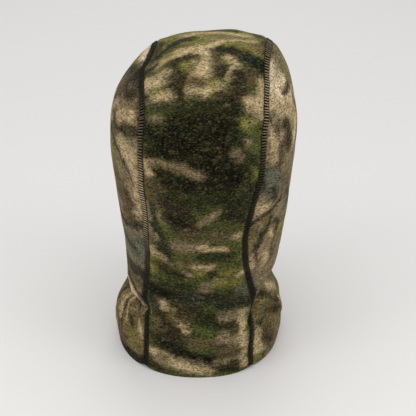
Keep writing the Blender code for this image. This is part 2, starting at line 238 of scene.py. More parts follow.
def side_panel_grid():
    back = crown_row_points(1.0, SEAM_GAP / 2)
    front = front_edge_points(np.concatenate([LOW_HEIGHTS, HEAD["level"] + CROWN_SHARES]))
    even = np.linspace(0, 1, SIDE_COLUMNS + 1)
    shares = ((1 - FINER) * even + FINER * (1 - (1 - even) ** 2))[None, :, None]
    places = (1 - shares) * spread_out(back)[:, None] + shares * spread_out(front)[:, None]
    grid = wrapped_on(places)
    grid[:, 0], grid[:, -1] = back, front
    return grid


def crown_panel_grid():
    shares = np.linspace(-1, 1, CROWN_COLUMNS + 1)
    gaps = [-np.sign(s) * SEAM_GAP / 2 if abs(s) == 1 else 0.0 for s in shares]
    return np.stack([crown_row_points(s, gap) for s, gap in zip(shares, gaps, strict=True)], axis=1)


MIRROR = np.array([-1.0, 1.0, 1.0])


# ---------------------------------------------------------------- noise
def hashed(ix, iy, iz, seed):
    n = (ix * 73856093) ^ (iy * 19349663) ^ (iz * 83492791) ^ (seed * 2654435761)
    n = (n ^ (n >> 13)) & 0xFFFFFFFF
    n = (n * 1274126177) & 0xFFFFFFFF
    n = (n ^ (n >> 16)) & 0xFFFFFFFF
    return n / 4294967295.0


def noise(points, seed):
    """Smooth noise from -1 to 1 that changes over about one unit."""
    cell = np.floor(points).astype(np.int64)
    part = points - cell
    ease = part * part * (3 - 2 * part)
    total = np.zeros(points.shape[:-1])
    for dx in (0, 1):
        for dy in (0, 1):
            for dz in (0, 1):
                weight = 1.0
                for k, d in ((0, dx), (1, dy), (2, dz)):
                    weight = weight * (ease[..., k] if d else 1 - ease[..., k])
                corner = cell + np.array([dx, dy, dz]) + 1000
                total += weight * hashed(corner[..., 0], corner[..., 1], corner[..., 2], seed)
    return 2 * total - 1


def layered(points, seed, layers=3):
    total, size = 0.0, 1.0
    for k in range(layers):
        total = total + size * noise(points * 2**k + 17.3 * k, seed + k)
        size *= 0.5
    return total / (2 - 0.5 ** (layers - 1))


def flat_noise(a, b, seed, layers=3):
    return layered(np.stack([a, b, np.zeros_like(a)], axis=-1), seed, layers)


# ---------------------------------------------------------------- how the cloth hangs
MM = 0.001
DEGREE_OF_TURN = 1.48  # millimetres of cloth to a degree of turn
TURN_RADIUS = 0.085
# Twist of the cloth round the head, by height: metres towards the wearer's left, at the two back seams.
TWIST_AT = (0.0, 0.03, 0.06, 0.09, 0.125, 0.165, 0.20, 0.24, 0.285, 0.32, 0.35, 0.385)
LEFT_TWIST = (0.0035, 0.0025, 0.002, 0.006, 0.0098, 0.0084, 0.0037, -0.0008, 0.0016, 0.0102, 0.0175, 0.009)
RIGHT_TWIST = (
    -0.0022, -0.0016, -0.0042, -0.0008, 0.0084, 0.0108,
    0.0083, 0.004, 0.0022, 0.0035, 0.0088, 0.0126,
)
LEAN_AT = (0.0, 0.03, 0.10, 0.12, 0.25, 0.27, 0.30, 0.328)
LEAN_BY = (0.004, 0.003, 0.0015, -0.001, -0.001, -0.002, -0.0055, -0.011)

# Folds and swellings: from (turn, height) to (turn, height) in degrees and millimetres, half width, how far
# the cloth stands out (or in, when it is less than 0), in millimetres.
FOLDS = (
    # the wearer's left: the neck pinches in above the flared skirt, which is pleated
    ((106, 50), (76, 60), 6.0, -9.5),
    ((72, 61), (43, 65), 4.5, -6.5),
    ((102, 68), (74, 72), 9.0, -3.6),
    ((78, 76), (46, 82), 7.5, 2.4),
    ((106, 32), (70, 36), 12.0, 3.0),
    ((45, 61), (46, 42), 3.0, 2.0),
    ((51, 54), (52, 26), 3.0, -1.6),
    ((59, 56), (61, 22), 3.6, 1.9),
    ((68, 54), (73, 24), 3.4, -1.7),
    ((80, 48), (86, 20), 4.5, 1.4),
    # the wearer's right: a deeper fold that starts higher
    ((-104, 75), (-74, 86), 6.5, -11.5),
    ((-70, 88), (-56, 86), 5.5, -7.5),
    ((-54, 82), (-40, 54), 5.0, -6.5),
    ((-92, 106), (-52, 100), 8.0, 2.4),
    ((-48, 94), (-37, 74), 6.0, 2.4),
    ((-108, 38), (-72, 38), 15.0, 4.6),
    ((-60, 72), (-84, 46), 3.6, -2.0),
    ((-46, 50), (-84, 26), 3.6, -1.3),
    ((-44, 38), (-62, 16), 4.0, 1.3),
    # across the back
    ((-30, 18), (30, 26), 4.5, -2.2),
    ((-26, 40), (26, 44), 11.0, 2.6),
    ((-30, 84), (30, 88), 9.0, -2.4),
    ((-30, 6), (30, 6), 6.0, 1.2),
    ((-14, 118), (30, 108), 7.0, 0.8),
    ((20, 205), (44, 190), 9.0, -0.9),
    ((-38, 215), (-60, 196), 8.0, -1.0),
    # the crown, fuller over the wearer's right
    ((-96, 316), (-52, 350), 24.0, 6.8),
    ((-150, 332), (-108, 322), 22.0, 2.6),
    ((60, 318), (90, 330), 16.0, -2.4),
    # the front, where the face cover gathers over chin and neck
    ((150, 72), (-152, 80), 8.0, -2.6),
    ((140, 92), (-170, 98), 7.0, 2.2),
    ((168, 54), (-140, 46), 7.0, 1.8),
    ((128, 108), (158, 122), 6.0, -1.6),
    ((-126, 100), (-155, 120), 6.0, -1.8),
    ((176, 118), (-150, 128), 7.0, -1.4),
)


def fold_line(start, end):
    (a0, u0), (a1, u1) = start, end
    if abs(a1 - a0) > 180:
        a1 += 360 if a1 < a0 else -360
    t = np.linspace(0, 1, 9)
    turn, up = np.radians(a0 + t * (a1 - a0)), MM * (u0 + t * (u1 - u0))
    return wrapped_on(np.stack([turn, up], axis=-1))


def near_line(points, line, limit):
    """Distance from points to a line, and the share of its length there; not looked for beyond the limit."""
    away = np.full(points.shape[:-1], 1.0)
    share = np.zeros(points.shape[:-1])
    low, high = line.min(axis=0) - limit, line.max(axis=0) + limit
    near = np.all((points > low) & (points < high), axis=-1)
    picked = points[near]
    best, at = np.full(len(picked), 1.0), np.zeros(len(picked))
    for k in range(len(line) - 1):
        step = line[k + 1] - line[k]
        t = np.clip((picked - line[k]) @ step / (step @ step), 0, 1)
        gap = np.linalg.norm(picked - line[k] - t[:, None] * step, axis=1)
        closer = gap < best
        best = np.where(closer, gap, best)
        at = np.where(closer, (k + t) / (len(line) - 1), at)
    away[near], share[near] = best, at
    return away, share


def run_of(points):
    """How far up the back of the hood, and on over the crown, places on it are."""
    above = np.maximum(points[..., 2] - HEAD["level"], 0)
    lift = np.arctan2(above, np.hypot(np.maximum(points[..., 1], 0), 0.02))
    return np.minimum(points[..., 2], HEAD["level"]) + CROWN_RADIUS * lift


def twisted(points):
    """Slides places on the surface across the back of the hood."""
    run = run_of(points)
    left = np.clip(0.5 + points[..., 0] / 0.1, 0, 1)
    back = np.clip((points[..., 1] + 0.03) / 0.06, 0, 1)
    by = left * np.interp(run, TWIST_AT, LEFT_TWIST)
    by += (1 - left) * np.interp(run, TWIST_AT, RIGHT_TWIST)
    moved = points.copy()
    moved[..., 0] += by * back * back * (3 - 2 * back)
    return onto_surface(moved)


FOLD_LINES = [(fold_line(start, end), width, height) for start, end, width, height in FOLDS]
HEM_HELD = 0.012


def bell(away, width):
    return np.exp(-((away / width) ** 2))


def swelling(points, seam, opening):
    """How far the cloth stands out from the plain shape, in metres.

    seam and opening are the distances to the nearest seam and to the eye opening's edge, in metres.
    """
    up = points[..., 2]
    out = np.zeros(up.shape)
    for line, width, height in FOLD_LINES:
        away, t = near_line(points, line, 0.003 * width)
        wander = 1 + 0.2 * np.sin(7 * t + width)
        out += height * wander * bell(away, width * MM)
    out += 1.1 * layered(points / 0.042, 3, 2) + 0.45 * layered(points / 0.016, 9, 2)
    # seams: a shallow groove between soft edges, drawn up here and there
    out += 0.7 * bell(seam - 0.0065, 0.0035) - bell(seam, 0.0026)
    out += 0.55 * bell(seam, 0.012) * noise(points / 0.0085, 21)
    # the eye opening's elastic gathers the cloth
    gather = 0.9 * bell(opening, 0.012) * (1 + noise(points / 0.0075, 33))
    out += gather - 0.8 * bell(opening, 0.004)
    # a flatter crown
    out -= 2.2 * bell(up - HEIGHT, 0.016) * bell(points[..., 0], 0.05)
    # the hem stays on its line
    out *= np.where(up < HEM_HELD, 0.45 + 0.55 * up / HEM_HELD, 1.0)
    return out * MM


def hung(points, seam, opening):
    """Surface points of the plain shape, moved to where the cloth really hangs."""
    normals = normals_of(points)
    moved = points + swelling(points, seam, opening)[..., None] * normals
    # the hem is drawn up a little at each seam
    moved[..., 2] += 0.0024 * bell(seam, 0.009) * np.exp(-points[..., 2] / 0.014)
    moved[..., 0] += np.interp(points[..., 2], LEAN_AT, LEAN_BY)
    return moved, normals


# ---------------------------------------------------------------- making meshes
def add_object(name, data):
    made = bpy.data.objects.new(name, data)
    bpy.context.scene.collection.objects.link(made)
    return made


def new_object(name, vertices, faces, material, sharp=50):
    mesh = bpy.data.meshes.new(name)
    points = (np.asarray(vertices) + TO_CAD).reshape(-1, 3)
    mesh.vertices.add(len(points))
    mesh.vertices.foreach_set("co", points.ravel())
    sizes = np.array([len(f) for f in faces])
    mesh.loops.add(int(sizes.sum()))
    corners = np.concatenate([np.asarray(f) for f in faces])
    mesh.loops.foreach_set("vertex_index", corners.astype(np.int32))
    mesh.polygons.add(len(faces))
    starts = np.concatenate([[0], np.cumsum(sizes)[:-1]])
    mesh.polygons.foreach_set("loop_start", starts.astype(np.int32))
    mesh.update(calc_edges=True)
    mesh.validate()
    mesh.shade_smooth()
    if sharp:
        mesh.set_sharp_from_angle(angle=math.radians(sharp))
    mesh.materials.append(material)
    return add_object(name, mesh)


def cells(rows, columns):
    """The row and the column of every cell of a grid."""
    i, j = np.meshgrid(np.arange(rows), np.arange(columns), indexing="ij")
    return i.ravel(), j.ravel()


def turned(faces, flip):
    return faces[:, ::-1] if flip else faces


def grid_quads(rows, columns, first, flip):
    i, j = cells(rows - 1, columns - 1)
    a = first + i * columns + j
    return turned(np.stack([a, a + 1, a + columns + 1, a + columns], axis=1), flip)


def shell_faces(rows, columns, flip=False):
    """Faces of two grids of points, one behind the other, and of the rim that joins them."""
    below = rows * columns
    top = below - columns
    rim = list(range(columns)) + [i * columns + columns - 1 for i in range(1, rows)]
    rim += [top + j for j in range(columns - 2, -1, -1)] + [i * columns for i in range(rows - 2, 0, -1)]
    rim = np.array(rim)
    following = np.roll(rim, -1)
    rim_faces = turned(np.stack([following, rim, below + rim, below + following], axis=1), flip)
    both = [grid_quads(rows, columns, 0, flip), grid_quads(rows, columns, below, not flip)]
    return np.concatenate([*both, rim_faces]), len(rim)


def add_uv(made, name, values):
    layer = made.data.uv_layers.new(name=name)
    layer.data.foreach_set("uv", np.asarray(values, dtype=np.float32).ravel())


def add_baking_uv(made, values):
    add_uv(made, "OFBake", values)
    made.data.uv_layers["OFBake"].active_render = True


def add_vertex_colours(made, colours):
    """Gives each vertex its colour: print or thread colour, with any painted light and shade already laid in.
    """
    layer = made.data.color_attributes.new(name="print", type="FLOAT_COLOR", domain="POINT")
    opaque = np.concatenate([colours, np.ones((len(colours), 1))], axis=1)
    layer.data.foreach_set("color", opaque.astype(np.float32).ravel())


def cloth_shell(name, grid, outwards, cloth, colours, inside_colours, material):
    """A closed sheet of fleece from a grid of its outer face.

    outwards is 1 or -1, whichever turns the grid's own normals out. cloth gives each point's place on the
    flat cloth in metres, and the colours are painted on the two faces.
    """
    rows, columns = grid.shape[:2]
    normals = outwards * unit(np.cross(np.gradient(grid, axis=1), np.gradient(grid, axis=0)))
    inner = grid - FLEECE * normals
    grid[0, :, 2] = np.maximum(grid[0, :, 2], 0)
    inner[0, :, 2] = grid[0, :, 2]
    vertices = np.concatenate([grid.reshape(-1, 3), inner.reshape(-1, 3)])
    flip = outwards < 0
    faces, rim = shell_faces(rows, columns, flip)
    made = new_object(name, vertices, faces, material)
    # where each corner lies on the flat cloth, for the nap
    flat = np.concatenate([cloth.reshape(-1, 2), cloth.reshape(-1, 2) + 0.5])
    add_uv(made, "cloth", flat[faces.ravel()])
    # a layout with no overlaps, for baking: outside, inside, then the rim as a thin strip
    i, j = np.meshgrid(np.linspace(0, 1, rows), np.linspace(0, 1, columns), indexing="ij")
    outside = np.stack([0.01 + 0.475 * j, 0.01 + 0.93 * i], axis=-1).reshape(-1, 2)
    layout = np.concatenate([outside, outside + np.array([0.5, 0.0])])
    along = np.linspace(0.01, 0.99, rim + 1)
    start, end = along[:-1], along[1:]
    low, high = np.full(rim, 0.96), np.full(rim, 0.985)
    across = np.stack([end, start, start, end], axis=1)
    strip = turned(np.stack([across, np.stack([low, low, high, high], axis=1)], axis=-1), flip)
    add_baking_uv(made, np.concatenate([layout[faces[:-rim].ravel()], strip.reshape(-1, 2)]))
    add_vertex_colours(made, np.concatenate([colours.reshape(-1, 3), inside_colours.reshape(-1, 3)]))
    return made


def tube(line, radius, sides=6, closed=False, up=None):
    """Vertices and faces of a tube along a line. radius may change along it."""
    line = np.asarray(line)
    count = len(line)
    radius = np.broadcast_to(radius, (count,))
    if closed:
        forward = unit(np.roll(line, -1, axis=0) - np.roll(line, 1, axis=0))
    else:
        forward = unit(np.gradient(line, axis=0))
    up = normals_of(line) if up is None else up
    side = unit(np.cross(forward, up))
    over = np.cross(side, forward)
    angles = np.linspace(0, 2 * np.pi, sides + 1)[:-1]
    ring = np.cos(angles)[:, None] * side[:, None] + np.sin(angles)[:, None] * over[:, None]
    vertices = (line[:, None] + radius[:, None, None] * ring).reshape(-1, 3)
    i, j = cells(count if closed else count - 1, sides)
    here, there, k = i * sides, (i + 1) % count * sides, (j + 1) % sides
    faces = np.stack([here + j, there + j, there + k, here + k], axis=1).tolist()
    if not closed:
        faces.append(list(range(sides)))
        faces.append(list(range((count - 1) * sides, count * sides))[::-1])
    return vertices, faces


def joined(parts):
    vertices, faces, first = [], [], 0
    for points, quads in parts:
        vertices.append(points)
        faces += [[first + k for k in quad] for quad in quads]
        first += len(points)
    return np.concatenate(vertices), faces


# ---------------------------------------------------------------- the print
def srgb(r, g, b):
    values = np.array([r, g, b]) / 255
    return np.where(values <= 0.04045, values / 12.92, ((values + 0.055) / 1.055) ** 2.4)


INKS = {
    "cream": srgb(208, 189, 155),
    "tan": srgb(176, 155, 117),
    "taupe": srgb(126, 110, 84),
    "brown": srgb(84, 72, 50),
    "bark": srgb(44, 38, 26),
    "black": srgb(13, 13, 9),
    "olive": srgb(116, 110, 58),
    "khaki": srgb(104, 90, 58),
    "moss": srgb(70, 74, 38),
    "forest": srgb(34, 38, 20),
    "teal": srgb(34, 38, 32),
    "slate": srgb(94, 94, 78),
}

# Strokes of ink on the crown panel, the first laid first: ink, from across and along to across and along in
# millimetres from the panel's middle and from the back hem, half width, softness of the edge.
CROWN_PRINT = (
    # over the top of the head
    ("olive", -50, 400, 50, 400, 24, 6), ("tan", 28, 404, -6, 402, 5, 5), ("forest", 2, 412, -22, 410, 4, 4),
    ("tan", -16, 396, -36, 392, 6, 6), ("bark", 50, 404, 54, 384, 7, 5), ("taupe", 8, 380, -18, 378, 3, 3),
    ("bark", -38, 402, -50, 380, 6, 5), ("tan", 48, 350, 34, 361, 8, 5), ("tan", 34, 362, 2, 368, 7, 4),
    ("tan", 4, 368, -34, 373, 5, 4), ("olive", -12, 362, -46, 358, 6, 4), ("khaki", -34, 362, -48, 356, 5, 4),
    ("olive", 18, 375, 6, 371, 5, 4), ("olive", 46, 366, 38, 364, 4, 4), ("teal", 54, 370, 37, 384, 4, 3),
    ("teal", 37, 387, 20, 389, 5, 3), ("teal", 58, 347, 51, 352, 4, 3), ("khaki", 46, 342, 36, 348, 6, 4),
    ("tan", 12, 356, 4, 332, 8, 5), ("tan", 18, 328, 6, 326, 7, 4), ("bark", 33, 345, 21, 352, 4, 4),
    ("bark", 21, 353, 12, 347, 3, 3), ("tan", 56, 322, 40, 326, 10, 4), ("bark", 30, 344, 28, 300, 9, 4),
    ("olive", 24, 338, 20, 332, 6, 4), ("brown", 0, 350, -8, 330, 5, 5), ("bark", -4, 330, -12, 324, 6, 4),
    ("tan", -15, 344, -22, 338, 5, 3), ("tan", -22, 338, -18, 322, 5, 3), ("khaki", 16, 318, 0, 314, 6, 4),
    ("tan", 14, 308, 3, 306, 6, 4), ("tan", -2, 314, -12, 308, 5, 4), ("olive", 0, 318, -6, 306, 3, 4),
    ("teal", -2, 357, -18, 350, 4, 3), ("bark", -18, 350, -32, 346, 6, 4), ("teal", -32, 346, -50, 334, 8, 3),
    ("black", -40, 340, -50, 332, 4, 3), ("brown", -24, 324, -40, 324, 6, 4),
    ("bark", -24, 326, -28, 306, 6, 4), ("bark", -12, 304, -28, 302, 6, 4), ("tan", -46, 320, -47, 300, 5, 4),
    ("tan", -38, 300, -44, 288, 8, 5),
    # the back of the head
    ("olive", 50, 312, 42, 311, 4, 4), ("tan", 50, 304, 36, 304, 5, 4), ("bark", 56, 308, 52, 304, 3, 3),
    ("teal", 54, 297, 38, 296, 4, 4), ("moss", 52, 289, 34, 288, 6, 5), ("taupe", 46, 284, 42, 282, 3, 3),
    ("forest", 52, 276, 44, 262, 7, 5), ("forest", 10, 298, -26, 296, 6, 6),
    ("black", 26, 276, -20, 280, 16, 8), ("black", 38, 262, -18, 258, 15, 7),
    ("forest", -30, 288, -34, 252, 8, 7), ("olive", -34, 282, -42, 278, 5, 4),
    ("moss", -44, 276, -45, 256, 6, 5), ("taupe", -36, 266, -40, 264, 2.5, 3),
    ("taupe", -28, 256, -32, 251, 3.5, 3), ("forest", 48, 262, 46, 250, 6, 5),
    ("black", -4, 246, -30, 236, 12, 8), ("forest", -44, 246, -46, 214, 6, 5),
    ("olive", -45, 238, -46, 230, 2.5, 3), ("black", 38, 230, -24, 226, 12, 8),
    ("brown", 48, 226, 36, 216, 7, 5), ("brown", 50, 247, 4, 241, 4, 3), ("taupe", 50, 247, 14, 243, 1.8, 2),
    ("taupe", 12, 241, 2, 239, 3, 3), ("tan", 50, 242, 46, 233, 4.5, 3), ("brown", 46, 212, 36, 206, 7, 5),
    ("forest", 26, 208, -28, 206, 8, 7), ("bark", 36, 208, 16, 198, 7, 5),
    ("forest", -6, 214, -38, 208, 9, 5), ("bark", -8, 198, -36, 199, 6, 5), ("moss", -4, 202, -18, 200, 3, 5),
    # down to the nape
    ("taupe", 51, 196, 47, 162, 5, 3), ("olive", 38, 192, 34, 184, 4, 4), ("tan", 38, 190, 36, 186, 3, 3),
    ("bark", 28, 190, 6, 178, 11, 5), ("black", 28, 192, 16, 186, 4, 4), ("forest", -10, 196, -30, 192, 6, 5),
    ("bark", -30, 187, -40, 184, 5, 4), ("brown", 16, 172, -20, 170, 7, 5), ("taupe", 3, 186, -14, 197, 3, 3),
    ("moss", 6, 172, -2, 170, 4, 4), ("taupe", 28, 158, 0, 159, 6, 4), ("tan", 2, 159, -18, 156, 4, 3),
    ("tan", -28, 170, -38, 169, 3, 3), ("moss", -24, 162, -36, 148, 6, 5),
    ("olive", -38, 166, -41, 142, 3.5, 4), ("moss", 28, 145, -2, 144, 6, 5),
    ("forest", 0, 146, -24, 146, 5, 4), ("teal", 48, 200, 43, 182, 2, 2), ("teal", 43, 182, 37, 160, 3, 2),
    ("teal", 37, 160, 32, 142, 4, 2.5), ("teal", 32, 142, 29, 134, 2.5, 3), ("bark", 44, 158, 40, 150, 3, 3),
    ("tan", 52, 150, 42, 142, 4, 3), ("taupe", 42, 142, 28, 129, 4, 3), ("moss", 50, 118, -46, 124, 12, 6),
    ("olive", 46, 138, 42, 130, 4, 3), ("khaki", 18, 136, -6, 132, 5, 4), ("tan", 3, 134, -6, 132, 3.5, 2.5),
    ("tan", 18, 125, 11, 122, 3, 2), ("olive", 8, 124, -4, 126, 3, 3), ("forest", 40, 128, 20, 120, 6, 5),
    ("olive", 53, 128, 48, 118, 5, 4), ("black", -6, 124, -24, 120, 4, 4),
    ("olive", -22, 124, -40, 124, 6, 4), ("tan", -32, 116, -42, 124, 2.5, 3),
    ("olive", -14, 112, -32, 108, 6, 4), ("forest", 36, 106, 10, 106, 5, 5),
    ("taupe", -3, 109, -8, 106, 3, 3), ("taupe", 0, 100, -10, 101, 3, 3), ("teal", 46, 94, 12, 90, 9, 5),
    ("black", 46, 96, 28, 88, 6, 5), ("teal", 12, 92, -18, 88, 8, 5), ("forest", -12, 92, -32, 96, 6, 6),
    ("slate", -38, 102, -42, 86, 4, 4), ("teal", -22, 80, -44, 80, 6, 3),
    # the skirt and hem
    ("brown", 40, 78, 26, 72, 7, 4), ("tan", 36, 76, 28, 72, 4, 3), ("teal", 48, 88, 40, 64, 4, 4),
    ("bark", 20, 76, 8, 74, 6, 5), ("bark", 30, 64, 8, 56, 10, 6), ("forest", 0, 69, -16, 60, 10, 6),
    ("khaki", 26, 68, 12, 58, 5, 4), ("tan", 18, 60, 12, 54, 3.5, 3), ("khaki", 42, 60, 38, 53, 4, 3),
    ("bark", 8, 74, 20, 70, 4, 4), ("bark", 32, 56, 22, 46, 6, 5), ("moss", 4, 58, -8, 52, 4, 4),
    ("taupe", -20, 67, -46, 68, 4, 3), ("bark", -24, 57, -40, 54, 4, 3), ("taupe", -22, 44, -40, 42, 7, 4),
    ("bark", -19, 38, -26, 38, 2.5, 2.5), ("tan", -42, 66, -46, 24, 3, 3), ("brown", 10, 43, -14, 43, 4, 4),
    ("bark", 48, 42, 20, 38, 8, 4), ("black", 38, 38, 16, 32, 5, 4), ("moss", 49, 38, 42, 34, 4, 3),
    ("black", 18, 28, -12, 22, 7, 4), ("brown", -18, 30, -40, 26, 5, 4), ("tan", 50, 24, 30, 20, 5, 3),
    ("taupe", 36, 17, -12, 8, 8, 3), ("tan", 30, 16, -10, 8, 4, 3), ("bark", 48, 8, 32, 4, 4, 3),
    ("bark", -16, 14, -40, 12, 4, 3), ("taupe", -16, 18, -40, 19, 2.5, 3), ("black", -22, 8, -38, 7, 3, 3),
    ("tan", -45, 22, -46, 8, 3, 3),
)

# The same on the side panels, by turn in degrees from the back and height up the cloth in millimetres. Among
# them are a painted highlight along a pleat and painted shade in a crease, marked below.
LEFT_STROKES = (
    ("brown", 30, 300, 80, 262, 22, 5), ("teal", 96, 299, 76, 301, 7, 4), ("teal", 76, 304, 58, 300, 6, 4),
    ("brown", 84, 288, 56, 284, 10, 6), ("teal", 76, 293, 68, 290, 2.5, 4), ("bark", 62, 290, 52, 284, 5, 5),
    ("cream", 91, 317, 120, 312, 7, 3), ("khaki", 94, 294, 90, 276, 4, 4), ("tan", 86, 266, 68, 277, 4, 3),
    ("taupe", 68, 278, 52, 284, 3.5, 3), ("tan", 64, 269, 48, 274, 6, 4), ("tan", 86, 262, 74, 256, 4, 3),
    ("bark", 66, 262, 58, 261, 3, 3), ("bark", 52, 262, 40, 264, 4.5, 4), ("slate", 80, 248, 72, 243, 3, 3),
    ("tan", 54, 250, 38, 238, 8, 4), ("tan", 44, 238, 36, 220, 7, 5), ("olive", 66, 236, 58, 212, 9, 5),
    ("taupe", 50, 226, 48, 212, 5, 4), ("teal", 74, 252, 56, 241, 1.9, 2), ("teal", 56, 241, 42, 226, 1.9, 2),
    ("brown", 62, 204, 50, 176, 12, 5), ("bark", 50, 200, 46, 190, 4, 5), ("tan", 40, 206, 38, 170, 4, 4),
    ("olive", 72, 194, 76, 166, 7, 5), ("khaki", 56, 172, 46, 166, 4, 4), ("slate", 40, 144, 82, 138, 16, 4),
    ("taupe", 60, 154, 46, 157, 5, 4), ("teal", 35, 172, 45, 166, 5, 3), ("teal", 70, 168, 58, 158, 4, 3),
    ("teal", 56, 161, 48, 162, 2.5, 3), ("teal", 62, 138, 50, 132, 4, 4), ("taupe", 52, 120, 48, 116, 4, 3),
    ("slate", 40, 122, 70, 122, 6, 4), ("teal", 33, 108, 78, 101, 8, 3), ("brown", 42, 93, 70, 92, 6, 4),
    ("teal", 76, 88, 44, 77, 3, 2), ("cream", 80, 81, 52, 67, 4.5, 3), ("khaki", 38, 40, 95, 40, 24, 6),
    ("teal", 70, 70, 50, 59, 1.8, 1.5), ("teal", 98, 52, 88, 38, 4, 3), ("tan", 78, 56, 72, 32, 4, 4),
    # the tan stroke from 66 degrees, 58 mm to 60 degrees, 40 mm is a painted highlight along the ridge of a
    # pleat
    ("bark", 72, 52, 66, 30, 3, 3), ("tan", 66, 58, 60, 40, 2.5, 1.5), ("bark", 56, 46, 53, 28, 4, 3),
    ("tan", 45, 52, 42, 34, 2, 2), ("brown", 76, 24, 56, 8, 7, 4), ("olive", 54, 30, 48, 16, 4, 4),
    ("taupe", 86, 34, 80, 18, 5, 4), ("bark", 74, 6, 64, 4, 5, 4), ("black", 62, 2, 38, 8, 7, 3),
)
RIGHT_STROKES = (
    ("tan", -34, 300, -70, 270, 26, 6), ("bark", -60, 345, -84, 338, 9, 4),
    ("khaki", -108, 322, -66, 330, 7, 4), ("cream", -56, 314, -50, 290, 15, 5),
    ("cream", -68, 300, -66, 280, 8, 5), ("olive", -86, 318, -80, 294, 6, 4),
    ("teal", -60, 289, -75, 291, 3, 2), ("tan", -44, 286, -66, 276, 7, 5),
    ("taupe", -42, 276, -50, 266, 6, 4), ("teal", -77, 278, -81, 262, 3, 3),
    ("bark", -34, 268, -44, 264, 4.5, 4), ("bark", -54, 264, -58, 246, 7, 4),
    ("brown", -50, 250, -47, 226, 5, 4), ("cream", -72, 262, -66, 236, 3.5, 3),
    ("bark", -80, 252, -75, 238, 2.5, 2), ("tan", -39, 264, -42, 240, 4.5, 4),
    ("slate", -33, 226, -48, 208, 13, 5), ("teal", -30, 236, -34, 214, 4, 4),
    ("teal", -42, 206, -46, 198, 4.5, 4), ("taupe", -60, 230, -62, 222, 3, 3),
    ("khaki", -57, 214, -60, 188, 5, 4), ("tan", -29, 196, -38, 190, 5, 3),
    ("taupe", -30, 180, -34, 172, 5, 3), ("brown", -64, 200, -68, 176, 5, 4),
    ("khaki", -29, 168, -35, 160, 7, 4), ("khaki", -40, 176, -48, 166, 5, 4),
    ("tan", -43, 161, -47, 154, 4, 3), ("forest", -50, 166, -53, 154, 4, 3),
    ("olive", -58, 160, -60, 138, 5, 4), ("taupe", -40, 148, -46, 122, 7, 4),
    ("tan", -44, 132, -47, 120, 3.5, 3), ("brown", -50, 146, -54, 122, 4, 4),
    ("teal", -53, 191, -42, 184, 2.2, 1.5), ("teal", -42, 184, -27, 178, 3.2, 2),
    ("bark", -45, 176, -39, 160, 2.6, 2), ("teal", -39, 160, -34, 146, 4.2, 2.5),
    ("bark", -34, 146, -36, 120, 2.6, 2), ("tan", -30, 134, -33, 120, 4, 3),
    ("slate", -35, 106, -41, 88, 7, 4), ("teal", -34, 84, -38, 73, 5, 3), ("bark", -80, 104, -96, 84, 8, 4),
    ("khaki", -46, 50, -96, 50, 28, 6), ("bark", -82, 92, -100, 70, 9, 4), ("tan", -60, 84, -70, 70, 4, 4),
    # the bark stroke from -54 degrees, 75 mm to -80 degrees, 47 mm is painted shade in the crease across the
    # wing
    ("bark", -54, 75, -80, 47, 3.6, 2), ("bark", -58, 54, -74, 42, 4, 2.5), ("tan", -66, 74, -86, 58, 4, 3),
    ("teal", -44, 46, -53, 48, 4, 2.5), ("brown", -54, 36, -60, 12, 9, 4), ("bark", -52, 30, -58, 20, 4, 4),
    ("tan", -83, 42, -80, 22, 4, 3), ("tan", -40, 38, -43, 18, 8, 4), ("moss", -38, 8, -48, 6, 6, 4),
    ("olive", -42, 10, -46, 6, 3, 3), ("bark", -30, 92, -30, 2, 4, 2), ("brown", -66, 14, -76, 10, 5, 4),
)


def lay_ink(colours, across, along, ink, x0, y0, x1, y1, width, soft, scale):
    dx, dy = (x1 - x0) * scale, y1 - y0
    x, y = (across - x0) * scale, along - y0
    t = np.clip((x * dx + y * dy) / max(dx * dx + dy * dy, 1e-9), 0, 1)
    away = np.hypot(x - t * dx, y - t * dy)
    soft = 1.9 * soft + 1
    cover = np.clip((width + soft / 2 - away) / soft, 0, 1)
    cover = (cover * cover * (3 - 2 * cover))[..., None] * 0.92
    return colours * (1 - cover) + INKS[ink] * cover


# Inks of the strokes no view settles, and how often each comes.
WILD_INKS = {
    "moss": 14, "brown": 13, "taupe": 10, "forest": 12, "tan": 11, "bark": 12,
    "olive": 11, "slate": 6, "black": 6, "cream": 5, "teal": 6,
}


def wild_strokes(rng, low, high, count, scale=1.0):
    """Strokes of mixed inks over a stretch of cloth."""
    names = list(WILD_INKS)
    chances = np.array(list(WILD_INKS.values()), float)
    strokes = []
    for _ in range(count):
        ink = names[rng.choice(len(names), p=chances / chances.sum())]
        start = rng.uniform(low, high)
        lean = rng.normal(0, 0.5) if ink in ("bark", "teal", "cream") else rng.normal(1.57, 0.8)
        length = rng.uniform(12, 42)
        end = start + length * np.array([math.sin(lean) / scale, math.cos(lean)])
        width = rng.uniform(1.2, 3.0) if rng.random() < 0.4 else rng.uniform(3.5, 9)
        strokes.append((ink, *start, *end, width, rng.uniform(2, 5)))
    return strokes


# Specks of a second ink: ink, where the noise starts and fills, how much it covers, size, seed.
SPECKS = (
    ("bark", 0.12, 0.6, 0.36, 8.0, 41),
    ("moss", 0.16, 0.6, 0.24, 7.0, 43),
    ("tan", 0.42, 0.8, 0.25, 5.0, 47),
)


